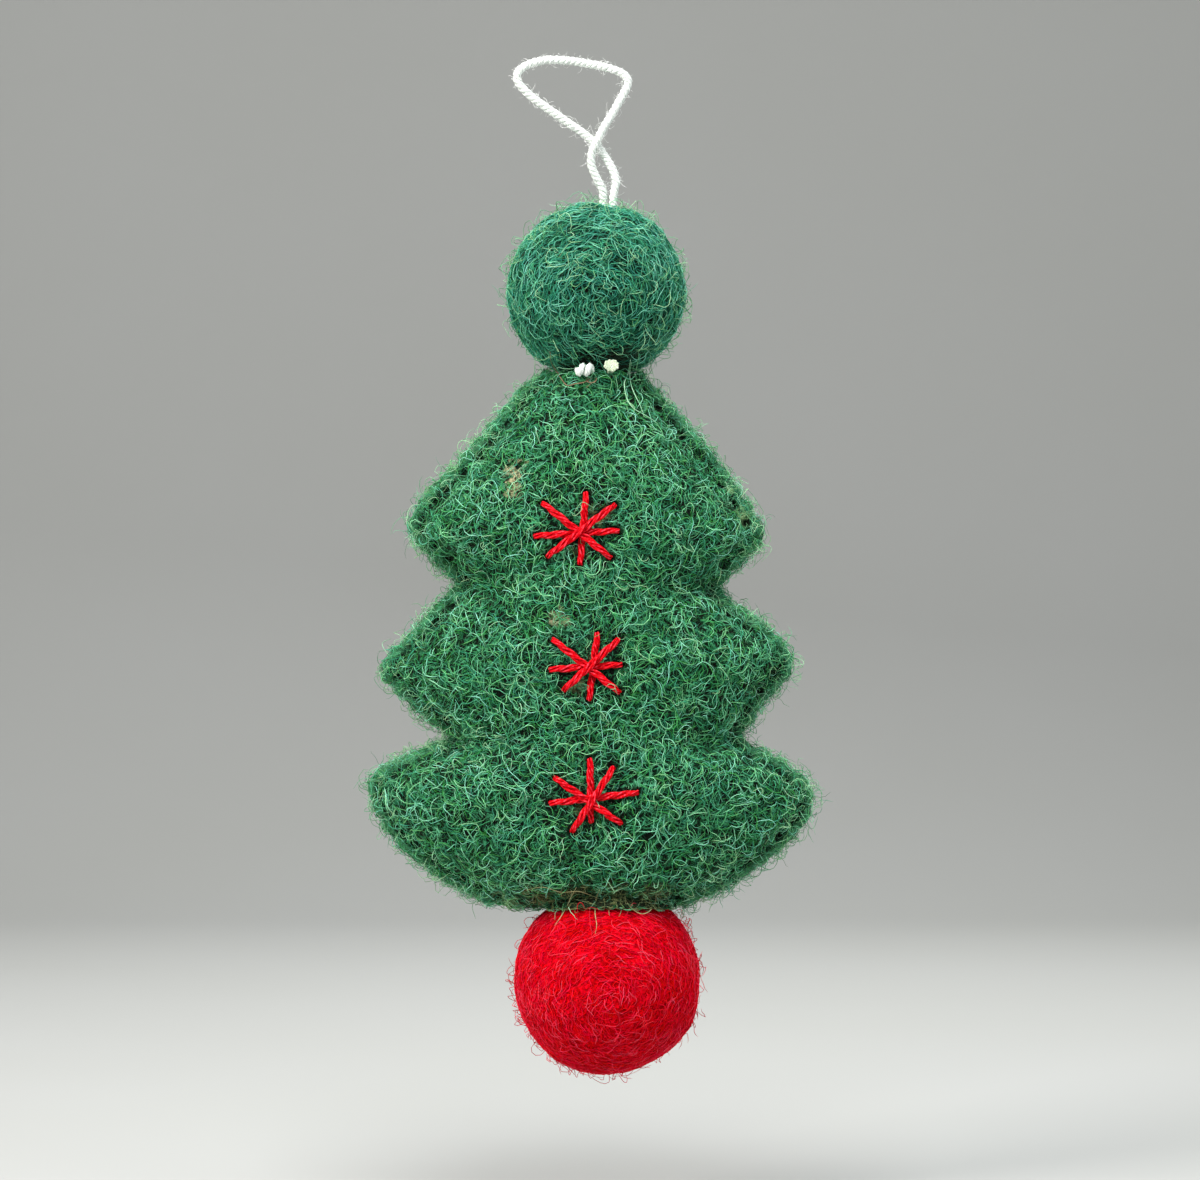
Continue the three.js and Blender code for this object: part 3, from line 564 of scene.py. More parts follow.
# Curved fibres strewn over a surface. Its "coat" says where they grow and its "pressed"
# where a stitch holds them down.
def woolTree():
    tree, known = newTree("wool fibres", dict(
        geometry="Geometry", coat="String", perSquareMetre="Float", shortest="Distance",
        longest="Distance", bend="Float", waveHeight="Distance", waves="Float",
        wander="Distance", pile="Distance", press="Distance", radius="Distance",
        loose="Distance", looped="Float", free="Float", grainAxis="Vector",
        grainShare="Float", marks="Int", seed="Int", material="Material"))
    surface = known["geometry"]
    grown = addNode(tree, "GeometryNodeInputNamedAttribute", {"Name": known["coat"]},
                    data_type="FLOAT")
    density = addNode(tree, "ShaderNodeMath", [known["perSquareMetre"], grown],
                      operation="MULTIPLY")
    roots = addNode(tree, "GeometryNodeDistributePointsOnFaces",
                    {"Mesh": surface, "Density": density, "Seed": known["seed"]},
                    distribute_method="RANDOM")
    points = roots.outputs["Points"]
    known.update(
        stand=roots.outputs["Normal"], place=addNode(tree, "GeometryNodeInputPosition"),
        anyWay=addNode(tree, "FunctionNodeRandomValue", {0: (-1, -1, -1), 1: (1, 1, 1), 8: 1},
                       data_type="FLOAT_VECTOR"))
    addSteps(tree, known, [
        ("freeLie", "cross", "stand", "anyWay"), ("freeLie", "unit", "freeLie"),
        ("grainLie", "cross", "stand", "grainAxis"), ("grainLie", "unit", "grainLie"),
        ("lie", "mixWays", "grainShare", "freeLie", "grainLie"), ("lie", "unit", "lie"),
        ("beside", "cross", "stand", "lie"), ("lessBend", "MULTIPLY", "bend", -1.0)])
    randoms = dict(long=(known["shortest"], known["longest"]),
                   arc=(known["lessBend"], known["bend"]),
                   level=(0.0, 1.0), tint=(0.0, fibreForm["tint"]), phase=(0.0, fullTurn),
                   hue=(0.0, 1.0))
    for number, (name, (least, most)) in enumerate(randoms.items()):
        known[name] = addNode(tree, "FunctionNodeRandomValue", {2: least, 3: most, 8: number + 2},
                              data_type="FLOAT")
    # painted shade: the lower fibres get a darker tint, the upper ones a paler
    addSteps(tree, known, [("tint", "MULTIPLY_ADD", "level", fibreForm["paler"], "tint")])
    known["root"] = known["place"]
    for name in ("root", "stand", "lie", "beside", *randoms):
        kind = "FLOAT" if name in randoms else "FLOAT_VECTOR"
        points = addNode(tree, "GeometryNodeStoreNamedAttribute",
                         {"Geometry": points, "Name": name, "Value": known[name]},
                         data_type=kind, domain="POINT")
        known[name] = addNode(tree, "GeometryNodeInputNamedAttribute", {"Name": name},
                              data_type=kind)
    line = addNode(tree, "GeometryNodeCurvePrimitiveLine")
    line = addNode(tree, "GeometryNodeResampleCurve", {"Curve": line, "Count": known["marks"]},
                   mode="COUNT")
    strewn = addNode(tree, "GeometryNodeInstanceOnPoints", {"Points": points, "Instance": line})
    strands = addNode(tree, "GeometryNodeRealizeInstances", {"Geometry": strewn})
    known["t"] = addNode(tree, "GeometryNodeSplineParameter").outputs["Factor"]

    # each fibre as an arc in the surface's own plane, with a crimp added
    strayed = addSteps(tree, known, [
        ("angle", "MULTIPLY", "arc", "t"),
        ("arm", "DIVIDE", "long", "arc"),
        ("sine", "SINE", "angle"),
        ("ahead", "MULTIPLY", "arm", "sine"),
        ("cosine", "COSINE", "angle"),
        ("lost", "SUBTRACT", 1.0, "cosine"),
        ("crimp", "MULTIPLY", "waves", fullTurn),
        ("crimp", "MULTIPLY_ADD", "crimp", "t", "phase"),
        ("crimp", "SINE", "crimp"),
        ("crimp", "MULTIPLY", "crimp", "waveHeight"),
        ("across", "MULTIPLY_ADD", "arm", "lost", "crimp"),
        ("laid", "scale", "lie", "ahead"),
        ("aside", "scale", "beside", "across"),
        ("bent", "plus", "laid", "aside"),
        ("bent", "plus", "bent", "root"),
        ("drift", "noise", "bent", perMetre["drift"], 1.0),
        ("drift", "minus", "drift.Color", (0.5, 0.5, 0.5)),
        ("drift", "scale", "drift", "wander"),
        ("strayed", "plus", "bent", "drift"),
    ])
    strands = addNode(tree, "GeometryNodeSetPosition", {"Geometry": strands, "Position": strayed})

    # laid back on the surface, over and under its neighbours, or let free towards its end
    known["near"] = addNode(tree, "GeometryNodeProximity",
                            {"Geometry": surface, "Sample Position": known["place"]},
                            target_element="FACES").outputs["Position"]
    pressedHere = addNode(tree, "GeometryNodeInputNamedAttribute", {"Name": "pressed"},
                          data_type="FLOAT")
    for name, value, kind in (
            ("out", addNode(tree, "GeometryNodeInputNormal").outputs["Normal"], "FLOAT_VECTOR"),
            ("pressed", pressedHere, "FLOAT")):
        known[name] = addNode(tree, "GeometryNodeSampleNearestSurface",
                              {"Mesh": surface, "Value": value,
                               "Sample Position": known["place"]}, data_type=kind)
    final = addSteps(tree, known, [
        ("weave", "noise", "place", perMetre["weave"], 1.0),
        ("arch", "MULTIPLY", "t", math.pi),
        ("arch", "SINE", "arch"),
        ("height", "MULTIPLY_ADD", "level", "arch", "weave"),
        ("height", "SUBTRACT", "height", fibreForm["sink"]),
        ("lift", "MULTIPLY_ADD", "height", "pile", "radius"),
        ("lift", "mix", "pressed", "lift", "press"),
        ("tight", "scale", "out", "lift"),
        ("tight", "plus", "tight", "near"),
        ("climb", "POWER", "t", fibreForm["climbPower"]),
        ("loops", "LESS_THAN", "hue", "looped"),
        ("climb", "mix", "loops", "climb", "arch"),
        ("rise", "MULTIPLY", "level", "loose"),
        ("rise", "MULTIPLY", "rise", "climb"),
        ("away", "scale", "stand", "rise"),
        ("away", "plus", "away", "place"),
        ("parted", "ease", "t", 0.0, fibreForm["freeBy"], 0.0, "free"),
        ("final", "mixWays", "parted", "tight", "away"),
    ])
    strands = addNode(tree, "GeometryNodeSetPosition", {"Geometry": strands, "Position": final})

    # thin at both ends, and no two of one girth
    thick = addSteps(tree, known, [
        ("slim", "range", "arch", 0.0, fibreForm["tipHeight"], fibreForm["thinTip"], 1.0),
        ("girth", "range", "level", 0.0, 1.0, fibreForm["leastGirth"], fibreForm["mostGirth"]),
        ("thick", "MULTIPLY", "slim", "girth"),
        ("thick", "MULTIPLY", "thick", "radius"),
    ])
    return finishTree(tree, known, strands, fibreSides, thick)


# One loop of thread over the rim at every point, which carries "out" and "along"
def overcastTree():
    tree, known = newTree("overcast stitches", dict(
        geometry="Geometry", reach="Distance", halfDepth="Distance", threadRadius="Distance",
        material="Material"))
    arc = addNode(tree, "GeometryNodeCurveArc",
                  {"Resolution": overcastLoop["marks"], "Radius": 1.0,
                   "Start Angle": math.radians(overcastLoop["start"]),
                   "Sweep Angle": math.radians(overcastLoop["sweep"])}, mode="RADIUS")
    out, along = [addNode(tree, "GeometryNodeInputNamedAttribute", {"Name": label},
                          data_type="FLOAT_VECTOR") for label in ("out", "along")]
    turn = addNode(tree, "FunctionNodeAxesToRotation", {0: out, 1: along}, primary_axis="X",
                   secondary_axis="Z")
    size = addNode(tree, "ShaderNodeCombineXYZ",
                   [known["reach"], known["halfDepth"], known["reach"]])
    loops = addNode(tree, "GeometryNodeInstanceOnPoints",
                    {"Points": known["geometry"], "Instance": arc, "Rotation": turn,
                     "Scale": size})
    loops = addNode(tree, "GeometryNodeRealizeInstances", {"Geometry": loops})
    return finishTree(tree, known, loops, overcastLoop["sides"], known["threadRadius"])


trees = dict(yarn=yarnTree(), wool=woolTree(), overcast=overcastTree())
print("ornament: node trees built")


# A path of points, with the direction square to it carried along or given
def pathObject(name, points, side=None):
    points = np.asarray(points, float)
    run = np.gradient(points, axis=0)
    run /= np.linalg.norm(run, axis=1)[:, None]
    sides = []
    carried = np.array(side if side is not None else (0.0, 1.0, 0.0), float)
    for direction in run:
        if side is None:
            carried = carried - direction * (carried @ direction)
            carried /= np.linalg.norm(carried)
        sides.append(carried)
    made = meshFrom(name, points, edges=[(i, i + 1) for i in range(len(points) - 1)])
    storeValues(made, side=sides)
    return made


def spinYarn(name, points, yarn, material, side=None):
    path = pathObject(name + "_path", points, side)
    made = runTree(path, trees["yarn"], name, dict(yarn, material=material),
                   keep=("along", "around"))
    bpy.data.objects.remove(path)
    return made


# A map for the bake: each fibre in its own cell, its length across and its girth up
def mapFibres(made, marks):
    mesh = made.data
    each = marks * fibreSides
    fibres = len(mesh.vertices) // each
    grid = max(1, math.ceil(math.sqrt(fibres)))
    corner = np.empty(len(mesh.loops), np.int64)
    mesh.loops.foreach_get("vertex_index", corner)
    fibre, rest = corner // each, corner % each
    across = 0.1 + 0.8 * (rest // fibreSides) / (marks - 1)
    up = 0.15 + 0.7 * (rest % fibreSides) / (fibreSides - 1)
    places = np.stack([(fibre % grid + across) / grid, (fibre // grid + up) / grid], 1)
    layer = mesh.uv_layers.new(name="OFBake")
    layer.uv.foreach_set("vector", places.astype(np.float32).ravel())


# What a kind of wool has unless it says otherwise
plainWool = dict(press=-0.35, loose=0.0, looped=0.6, grainAxis=(0.0, 1.0, 0.0), grainShare=0.0)


def growWool(surface, name, wool, material, seed, body=None, coat="coat"):
    settings = dict(plainWool, **wool)
    settings.update(
        coat=coat, perSquareMetre=wool["perSquare"] * fibreShare * 1e6,
        shortest=wool["length"][0], longest=wool["length"][1],
        free=float(settings["loose"] > 0), seed=seed, material=material)
    made = runTree(surface, trees["wool"], name, settings, keep=("tint", "hue"))
    mapFibres(made, wool["marks"])
    if body:
        finishPiece(made, body)
    print("ornament:", name, len(made.data.polygons), "faces")
    return made


# The cord: free loop, its runs inside the ball, its knot and cut end at the neck

cord = dict(
    route=[
        (0.97, 0, -17.36), (0.86, -0.05, -16.2), (0.05, -0.2, -14.6), (-0.62, -0.4, -12.9),
        (-0.55, -0.6, -11.3), (0, -0.7, -10), (0.95, -0.65, -8.1), (2.15, -0.4, -6.1),
        (3.45, -0.2, -3.8), (4.25, 0, -2.15), (4.2, 0, -1.2), (3.3, 0, -0.4), (1.3, 0, 0.28),
        (-0.95, 0, 0.74), (-3.1, 0, 1.1), (-5.7, 0, 1.3), (-7.6, 0, 1.12), (-9.45, 0, 0.5),
        (-10.4, 0, -0.25), (-10.68, 0, -1.15), (-10.2, 0, -2.2), (-8.9, 0.1, -3.5),
        (-7.15, 0.25, -4.8), (-5.4, 0.4, -6), (-3.65, 0.55, -7.2), (-1.75, 0.65, -8.5),
        (0, 0.7, -10), (1.35, 0.6, -11.9), (2.3, 0.4, -13.6), (2.7, 0.2, -15),
        (2.5, 0.05, -16.3), (2.33, 0, -17.36),
    ],
    diameter=1.0, length=57.0, bendFrom=-14.9, bendTo=-18.9,
    rootDepth=2.1, bare=-17.4,  # how far each end goes on into the ball, without fuzz
    yarn=dict(plies=3, plyRadius=0.325, halfWidth=0.26, halfThickness=0.26, pitch=2.2, sides=8),
    step=0.16,
    fuzz=dict(perSquare=1.5, length=(0.5, 1.7), bend=2.2, waveHeight=0.08, waves=1.0, wander=0.4,
              pile=0.05, radius=0.022, loose=0.55, marks=6),
)
ball = dict(radius=12.15, z=-30.0, exit=1.65, spacing=1.36)  # the upper ball and its two bores


def addCord():
    route = list(cord["route"])
    drop = Vector((0, 0, -cord["rootDepth"]))
    ends = [tuple(Vector(route[0]) + drop), tuple(Vector(route[-1]) + drop)]
    points = smoothCurve([ends[0], *route, ends[1]], cord["step"])
    loop = spinYarn("loop_cord", points, cord["yarn"], finishes["cotton"])
    coat = [float(v.co.z > cord["bare"] * metre) for v in loop.data.vertices]
    storeValues(loop, coat=coat, pressed=np.zeros(len(coat)))
    fuzz = growWool(loop, "loop_fuzz", cord["fuzz"], finishes["cottonFuzz"], 11)
    for label in ("coat", "pressed"):
        loop.data.attributes.remove(loop.data.attributes[label])
    fuzz.data.uv_layers.remove(fuzz.data.uv_layers[0])
    loop = joinMeshes(loop, fuzz)
    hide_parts("hanging_cord")
    middle = ball["exit"] * metre
    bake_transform(loop, "hanging_loop", "upper_ball", start=(middle, 0, cord["bendFrom"] * metre),
             end=(middle, 0, cord["bendTo"] * metre))


addCord()
print("ornament: hanging cord twisted")


knot = dict(
    middle=(-1.5, -8.2, -41.0), turns=2, pitch=0.94, radius=0.52, marks=8,
    root=(4.1, -43.5), mouth=(5.9, -41.5),  # depth and height where it enters the neck
    yarn=dict(plies=4, plyRadius=0.22, halfWidth=0.2, halfThickness=0.2, pitch=4.2, sides=8),
)
tail = dict(
    marks=((1.36, -4.1, -43.5), (1.75, -5.2, -41.7), (2.05, -6.9, -40.7), (2.07, -8.75, -40.45)),
    yarn=dict(plies=48, plyRadius=0.15, halfWidth=0.29, halfThickness=0.22, pitch=9.0, sides=6,
              filled=1.0, flare=2.3),
)
# hairs that lie over the wool: (name, finish, radius, how high, x and z marks)
longHairs = [
    ("brown_hair", "strayHair", 0.07, 1.5,
     [(-6.1, -38.6), (-5.95, -39.9), (-5.1, -41.2), (-4.3, -42.6), (-3.7, -43.1),
      (-2.8, -42.9), (-1.6, -42.7), (-0.9, -42.3), (-0.4, -41.9), (0.1, -42.2), (-0.3, -42.7),
      (-1.1, -42.6), (-1.2, -42.1), (-0.6, -41.8), (-0.1, -42.3), (-0.7, -42.9), (-1.3, -43.4)]),
    ("pale_fibre_long", "longFibre", 0.075, 1.15,
     [(4.6, -39.6), (4.3, -41.2), (3.8, -42.6), (3.9, -44.0), (4.3, -45.2), (5.1, -46.2),
      (6.2, -46.8), (7.4, -47.5), (8.3, -48.2)]),
    ("pale_fibre_short", "longFibre", 0.065, 1.1,
     [(4.7, -39.9), (4.5, -41.4), (4.7, -42.9), (5.2, -44.3), (5.9, -45.7), (6.4, -47.2)]),
    ("olive_fibre_left", "oliveFibre", 0.06, 0.9,
     [(-2.6, -109.6), (-3.3, -111.0), (-3.8, -112.2), (-4.6, -113.5), (-5.5, -114.7)]),
    ("olive_fibre_middle", "oliveFibre", 0.06, 0.9,
     [(0.5, -109.9), (0.0, -111.4), (-0.1, -113.0), (0.1, -114.4), (-0.1, -115.5)]),
    ("olive_fibre_right", "oliveFibre", 0.065, 0.9,
     [(3.9, -111.3), (4.6, -112.3), (5.9, -113.1), (7.1, -112.9), (7.9, -111.9), (8.0, -110.8)]),
    ("olive_fibre_across", "oliveFibre", 0.055, 0.8,
     [(-9.3, -110.1), (-7.0, -109.6), (-4.6, -110.3), (-2.2, -110.2), (0.3, -111.2)]),
]


def addNeckCord():
    x, y, z = knot["middle"]
    half = knot["turns"] * knot["pitch"] / 2
    points = [(-ball["spacing"] / 2, -knot["root"][0], knot["root"][1]),
              (x - half * 0.7, -knot["mouth"][0], knot["mouth"][1])]
    for i in range(knot["marks"] * knot["turns"] + 1):
        turn = fullTurn * i / knot["marks"]
        points.append((x - half + knot["pitch"] * i / knot["marks"],
                       y + knot["radius"] * math.cos(turn), z - knot["radius"] * math.sin(turn)))
    points += [(x + half * 0.7, -knot["mouth"][0], knot["mouth"][1]),
               (x + half * 0.6, -knot["root"][0], knot["root"][1])]
    wraps = spinYarn("neck_wraps", smoothCurve(points, 0.1), knot["yarn"], finishes["cotton"])
    finishPiece(wraps, "tree", "neck_knot")
    end = spinYarn("frayed_cord_end", smoothCurve(tail["marks"], 0.15), tail["yarn"],
                   finishes["cottonEnd"], (1.0, 0.0, 0.0))
    finishPiece(end, "tree", "cord_tail_end")
    for side, word in ((-1, "left"), (1, "right")):
        top = ball["exit"] + side * ball["spacing"] / 2
        low = side * ball["spacing"] / 2
        points = [(top, 0, ball["z"] + math.sqrt(ball["radius"] ** 2 - top ** 2) - 0.5),
                  (low, 0, ball["z"] - math.sqrt(ball["radius"] ** 2 - low ** 2))]
        run = spinYarn(f"inner_cord_{word}", smoothCurve(points, 0.4), cord["yarn"],
                       finishes["cotton"])
        finishPiece(run, "upper_ball", f"cord_run_{word}")


addNeckCord()
print("ornament: neck cord and cord runs twisted")


# The two felt balls

topBall = dict(
    centre=(0, 0, ball["z"]), radius=11.55, divisions=6,
    lumps=[(5.0, 0.32), (1.9, 0.16), (0.75, 0.07)],
    pit=dict(place=(1.65, -0.9, -18.6), depth=0.75, spread=1.9, clear=1.3),
    grownBetween=(-41.2, 0),
    shade=dict(high=37.2, low=39.0, halfWidth=6.5),  # painted shade in the gap above the knot
    mat=dict(perSquare=3.2, length=(1.4, 3.4), bend=1.5, waveHeight=0.1, waves=1.2, wander=0.6,
             pile=0.3, radius=0.048, grainAxis=(-0.1, 1.0, 0.2), grainShare=0.74, marks=6),
    curls=dict(perSquare=2.1, length=(1.8, 4.8), bend=2.0, waveHeight=0.12, waves=1.4, wander=0.9,
               pile=0.5, radius=0.042, grainAxis=(-0.1, 1.0, 0.2), grainShare=0.66, marks=8),
    stray=dict(perSquare=0.6, length=(1.2, 5.2), bend=5.4, waveHeight=0.25, waves=1.2, wander=1.3,
               pile=0.3, radius=0.036, loose=1.9, looped=0.6, marks=9),
)
bottomBall = dict(
    centre=(1.5, 0, -122.85), radius=12.4, seat=12.5, divisions=6,
    lumps=[(6.0, 0.28), (2.2, 0.09), (0.8, 0.03)],
    grownBetween=(-200, -113.3),
    mat=dict(perSquare=2.45, length=(1.2, 3.2), bend=1.5, waveHeight=0.1, waves=1.4, wander=0.6,
             pile=0.14, radius=0.046, grainAxis=(-0.1, 1.0, 0.12), grainShare=0.72, marks=6),
    curls=dict(perSquare=1.7, length=(1.2, 3.0), bend=1.5, waveHeight=0.1, waves=1.2, wander=0.6,
               pile=0.2, radius=0.032, grainAxis=(-0.1, 1.0, 0.12), grainShare=0.76, marks=7),
    stray=dict(perSquare=0.36, length=(1.4, 4.2), bend=5.4, waveHeight=0.2, waves=1.2, wander=1.2,
               pile=0.2, radius=0.038, loose=1.5, looped=0.7, marks=9),
)


def lumpHeight(point, lumps, shift):
    return sum(high * noise.noise(point / size + Vector((shift, shift, 0)))
               for size, high in lumps)


def makeBall(name, settings, shift):
    sphere = bpy.data.meshes.new(name)
    shape = bmesh.new()
    bmesh.ops.create_icosphere(shape, subdivisions=settings["divisions"], radius=1.0)
    centre = Vector(settings["centre"])
    pit, shade = settings.get("pit"), settings.get("shade")
    lowest, highest = settings["grownBetween"]
    coats, hollows = [], []
    for vertex in shape.verts:
        way = vertex.co.normalized()
        place = centre + way * settings["radius"]
        radius = settings["radius"] + lumpHeight(place, settings["lumps"], shift)
        if pit:
            away = (place - Vector(pit["place"])).length
            radius -= pit["depth"] * math.exp(-(away / pit["spread"]) ** 2)
        place = centre + way * radius
        hollow = 0.0
        # painted shade in the gap above the knot, where fewer fibres grow
        if shade:
            hollow = float(smoothStep(-place.z, shade["high"], shade["low"]))
            hollow *= math.exp(-(place.x / shade["halfWidth"]) ** 4)
        hollows.append(hollow)
        bare = not lowest <= place.z <= highest or (pit and away < pit["clear"])
        coats.append(0.0 if bare else 1 - 0.85 * hollow)
        vertex.co = place * metre
    for face in shape.faces:
        face.smooth = True
    shape.to_mesh(sphere)
    shape.free()
    made = newObject(name, sphere)
    storeValues(made, coat=coats, hollow=hollows, pressed=np.zeros(len(coats)))
    return made


def addBalls():
    for name, settings, wools, felt, body, slot, node, seed in (
            ("upper_felt_ball", topBall, ("ballWool", "ballCurl", "strayWool"), "ballFelt",
             "upper_ball", "green_ball_felt", "top_ball", 21),
            ("lower_felt_ball", bottomBall, ("redWool", "redCurl", "strayRed"), "redFelt",
             "tree", "red_ball_felt", "bottom_ball", 31)):
        made = makeBall(name, settings, seed * 7.3)
        for number, layer in enumerate(("mat", "curls", "stray")):
            growWool(made, f"{name}_{layer}", settings[layer], finishes[wools[number]],
                     seed + number, body)
        finishPiece(made, body, node, finishes[felt])


addBalls()
print("ornament: felt balls made")


# The stuffed tree

tree = dict(
    top=-40.5, height=72.6, halfWidth=29.8, halfDepth=11.4, edgeHalf=1.1,
    crownPower=2.3, crownRoundness=0.85, dimpleDepth=0.8, dimpleSpread=3.2,
    left=[(0, 0.24), (0.037, 0.335), (0.104, 0.467), (0.171, 0.61), (0.225, 0.75),
          (0.281, 0.838), (0.307, 0.836), (0.362, 0.705), (0.382, 0.648), (0.401, 0.625),
          (0.428, 0.692), (0.502, 0.863), (0.548, 0.968), (0.572, 0.956), (0.643, 0.775),
          (0.684, 0.637), (0.697, 0.725), (0.725, 0.9), (0.758, 1.022), (0.781, 1.025),
          (0.81, 1.006), (0.882, 0.893), (0.942, 0.7), (0.98, 0.54), (1, 0.39)],
    right=[(0, 0.209), (0.033, 0.255), (0.089, 0.381), (0.165, 0.538), (0.217, 0.63),
           (0.29, 0.743), (0.318, 0.751), (0.377, 0.61), (0.398, 0.555), (0.428, 0.585),
           (0.472, 0.75), (0.511, 0.857), (0.539, 0.884), (0.567, 0.876), (0.61, 0.768),
           (0.649, 0.704), (0.68, 0.648), (0.697, 0.685), (0.73, 0.85), (0.77, 0.966),
           (0.799, 0.975), (0.835, 0.958), (0.89, 0.828), (0.952, 0.625), (0.989, 0.425),
           (1, 0.36)],
    crown=[(0, 0.1), (0.02, 0.56), (0.05, 0.66), (0.1, 0.74), (0.2, 0.87), (0.3, 0.95),
           (0.4, 0.93), (0.55, 1), (0.68, 0.96), (0.79, 1), (0.88, 0.93), (0.94, 0.76),
           (0.98, 0.48), (1, 0.1)],
)
stars = dict(
    radius=5.4, layer=0.36, lift=0.27, legDepth=1.2, bridge=6, marks=48,
    places={
        "top_star": (-0.071, 0.3015, {
            "upright": ((0.15, 0.92), (0.01, -0.8)), "level": ((-1.1, -0.13), (0.93, 0)),
            "falling": ((-0.9, 0.67), (0.74, -0.65)), "rising": ((-0.78, -0.62), (0.85, 0.63))}),
        "middle_star": (-0.026, 0.548, {
            "upright": ((0.18, 0.8), (-0.02, -0.8)), "level": ((-0.97, -0.07), (0.75, 0.05)),
            "falling": ((-0.9, 0.66), (0.71, -0.62)), "rising": ((-0.64, -0.57), (0.69, 0.66))}),
        "bottom_star": (-0.022, 0.786, {
            "upright": ((-0.02, 0.93), (0, -0.59)), "level": ((-0.99, -0.13), (1.13, 0.13)),
            "falling": ((-0.88, 0.49), (0.73, -0.62)), "rising": ((-0.46, -0.82), (0.54, 0.73))}),
    },
    floss=dict(plies=3, plyRadius=0.235, halfWidth=0.29, halfThickness=0.15, pitch=7.0, sides=10,
               taper=0.26),
)
panel = dict(
    rows=230, columns=130, evenShare=0.45, outlineSmoothing=0.5, crownSmoothing=0.5,
    sheet=2.0, edgeRound=1.2, seamHalfGap=0.05, leastGap=0.02,
    stitchPitch=2.9, pitchSpread=0.16, firstStitch=2.6, lastStitch=2.4,
    scallop=0.55, scallopReach=1.3, scallopPower=0.8, scallopMean=0.55,
    pucker=1.15, puckerPlace=1.5, puckerLength=1.0, puckerWidth=0.55,
    notchLength=0.95, notchWidth=0.75,  # the hole at a stitch, painted dark as shade, wider than its pucker
    valley=0.7, valleyPlace=1.9, valleyWidth=0.75,
    pit=0.8, pitWidth=0.7,  # where the floss goes in: a dent, painted dark as shade
    lip=dict(depth=7.2, high=40.8, low=41.7, halfWidth=5.2, bottom=-46),  # drawn up at the knot
    bandWidth=1.0, bandFrom=0.45, bandTo=1.15, bandShare=0.75,  # the rim's smooth band, painted pale: partly its smoother felt, partly a painted highlight
    lumps=[(5.0, 0.5), (2.1, 0.22), (0.8, 0.08)],
    lumpsFrom=0.1, lumpsTo=2.0,  # how far in from the rim they begin and are full
    starCalm=6.0, starFlatness=0.8,  # fewer lumps near a star
    creaseFade=0.7,
    creases=[((-18.9, -69.4), (-10.0, -70.5), 0.9, 1.3), ((17.0, -69.6), (9.0, -71.2), 0.8, 1.3),
             ((-18.6, -90.2), (-8.5, -91.5), 1.0, 1.4), ((19.2, -90.0), (10.5, -91.5), 0.8, 1.3)],
    underCord=((-2.7, -40.7), (-0.3, -40.7), 0.3),  # wool pressed down by the knot
    underFloss=0.5, pressFade=0.4,
    # how strongly the stitch holes are painted dark as shade, and how far they press the wool
    holeGain=1.25, holeEdge=0.1, holePress=0.8,
    seatGap=0.12, seatUnder=1.2, bareNearBall=0.4,
    # where the lower edge lies over the red ball; dark, high, low and darkHalfWidth paint shade under it
    flap=dict(thickness=0.8, rise=0.75, halfWidth=8.0, start=0.965, dark=0.5, high=110.5,
              low=111.5, darkHalfWidth=10.0),
    mat=dict(perSquare=1.95, length=(1.2, 2.8), bend=2.2, waveHeight=0.1, waves=1.0, wander=0.7,
             pile=0.4, radius=0.045, marks=5),
    curls=dict(perSquare=1.32, length=(1.6, 4.2), bend=3.2, waveHeight=0.13, waves=1.2,
               wander=0.9, pile=0.75, radius=0.039, marks=7),
    stray=dict(perSquare=0.3, length=(1.2, 4.2), bend=5.4, waveHeight=0.22, waves=1.1, wander=1.2,
               pile=0.3, radius=0.038, loose=1.6, looped=0.75, marks=9),
    fringe=dict(perSquare=1.5, length=(1.2, 4.8), bend=5.6, waveHeight=0.22, waves=1.1,
                wander=1.2, pile=0.2, radius=0.034, loose=1.5, looped=0.7, marks=9),
    fringeWidth=1.7,
    shares=dict(front=1.0, back=0.85),  # the back's wool is a little thinner
)
fineShares = np.linspace(0, 1, 2001)
rowMarks = 200  # marks along the top and the bottom row of the rim


def tableValues(table, smoothing):
    places, values = zip(*table)
    level = np.interp(fineShares, places, values)
    width = smoothing / tree["height"] * (len(fineShares) - 1)
    steps = np.arange(-int(3 * width), int(3 * width) + 1)
    kernel = np.exp(-0.5 * (steps / width) ** 2)
    padded = np.pad(level, len(steps) // 2, mode="reflect", reflect_type="odd")
    return np.convolve(padded, kernel / kernel.sum(), "valid")


leftEdge = -tree["halfWidth"] * tableValues(tree["left"], panel["outlineSmoothing"])
rightEdge = tree["halfWidth"] * tableValues(tree["right"], panel["outlineSmoothing"])
crownEdge = tree["halfDepth"] * tableValues(tree["crown"], panel["crownSmoothing"])


def heightAt(share):
    return tree["top"] - tree["height"] * share


def edgesAt(share):
    return np.interp(share, fineShares, leftEdge), np.interp(share, fineShares, rightEdge)


# Half depth of the stuffed body, without what its rim does
def bodyDepth(x, share, edge=tree["edgeHalf"]):
    left, right = edgesAt(share)
    across = np.clip(np.abs((2 * x - left - right) / (right - left)), 0, 1)
    full = np.maximum(np.interp(share, fineShares, crownEdge) - tree["edgeHalf"], 0)
    return edge + full * (1 - across ** tree["crownPower"]) ** tree["crownRoundness"]


# How near each point is to a star's middle, from 1 down to 0, all three added up
def starNearness(x, z, spread):
    centres = [(right * tree["halfWidth"], heightAt(down))
               for right, down, _ in stars["places"].values()]
    return sum(np.exp(-((x - cx) ** 2 + (z - cz) ** 2) / spread ** 2) for cx, cz in centres)


def dimples(x, z):
    return tree["dimpleDepth"] * starNearness(x, z, tree["dimpleSpread"])


def starStitches():
    found = []
    for name, (right, down, stitches) in stars["places"].items():
        cx, cz = right * tree["halfWidth"], heightAt(down)
        for layer, (word, ends) in enumerate(stitches.items()):
            ends = [(cx + a * stars["radius"], cz + b * stars["radius"]) for a, b in ends]
            found.append((name, word, layer, ends))
    return found


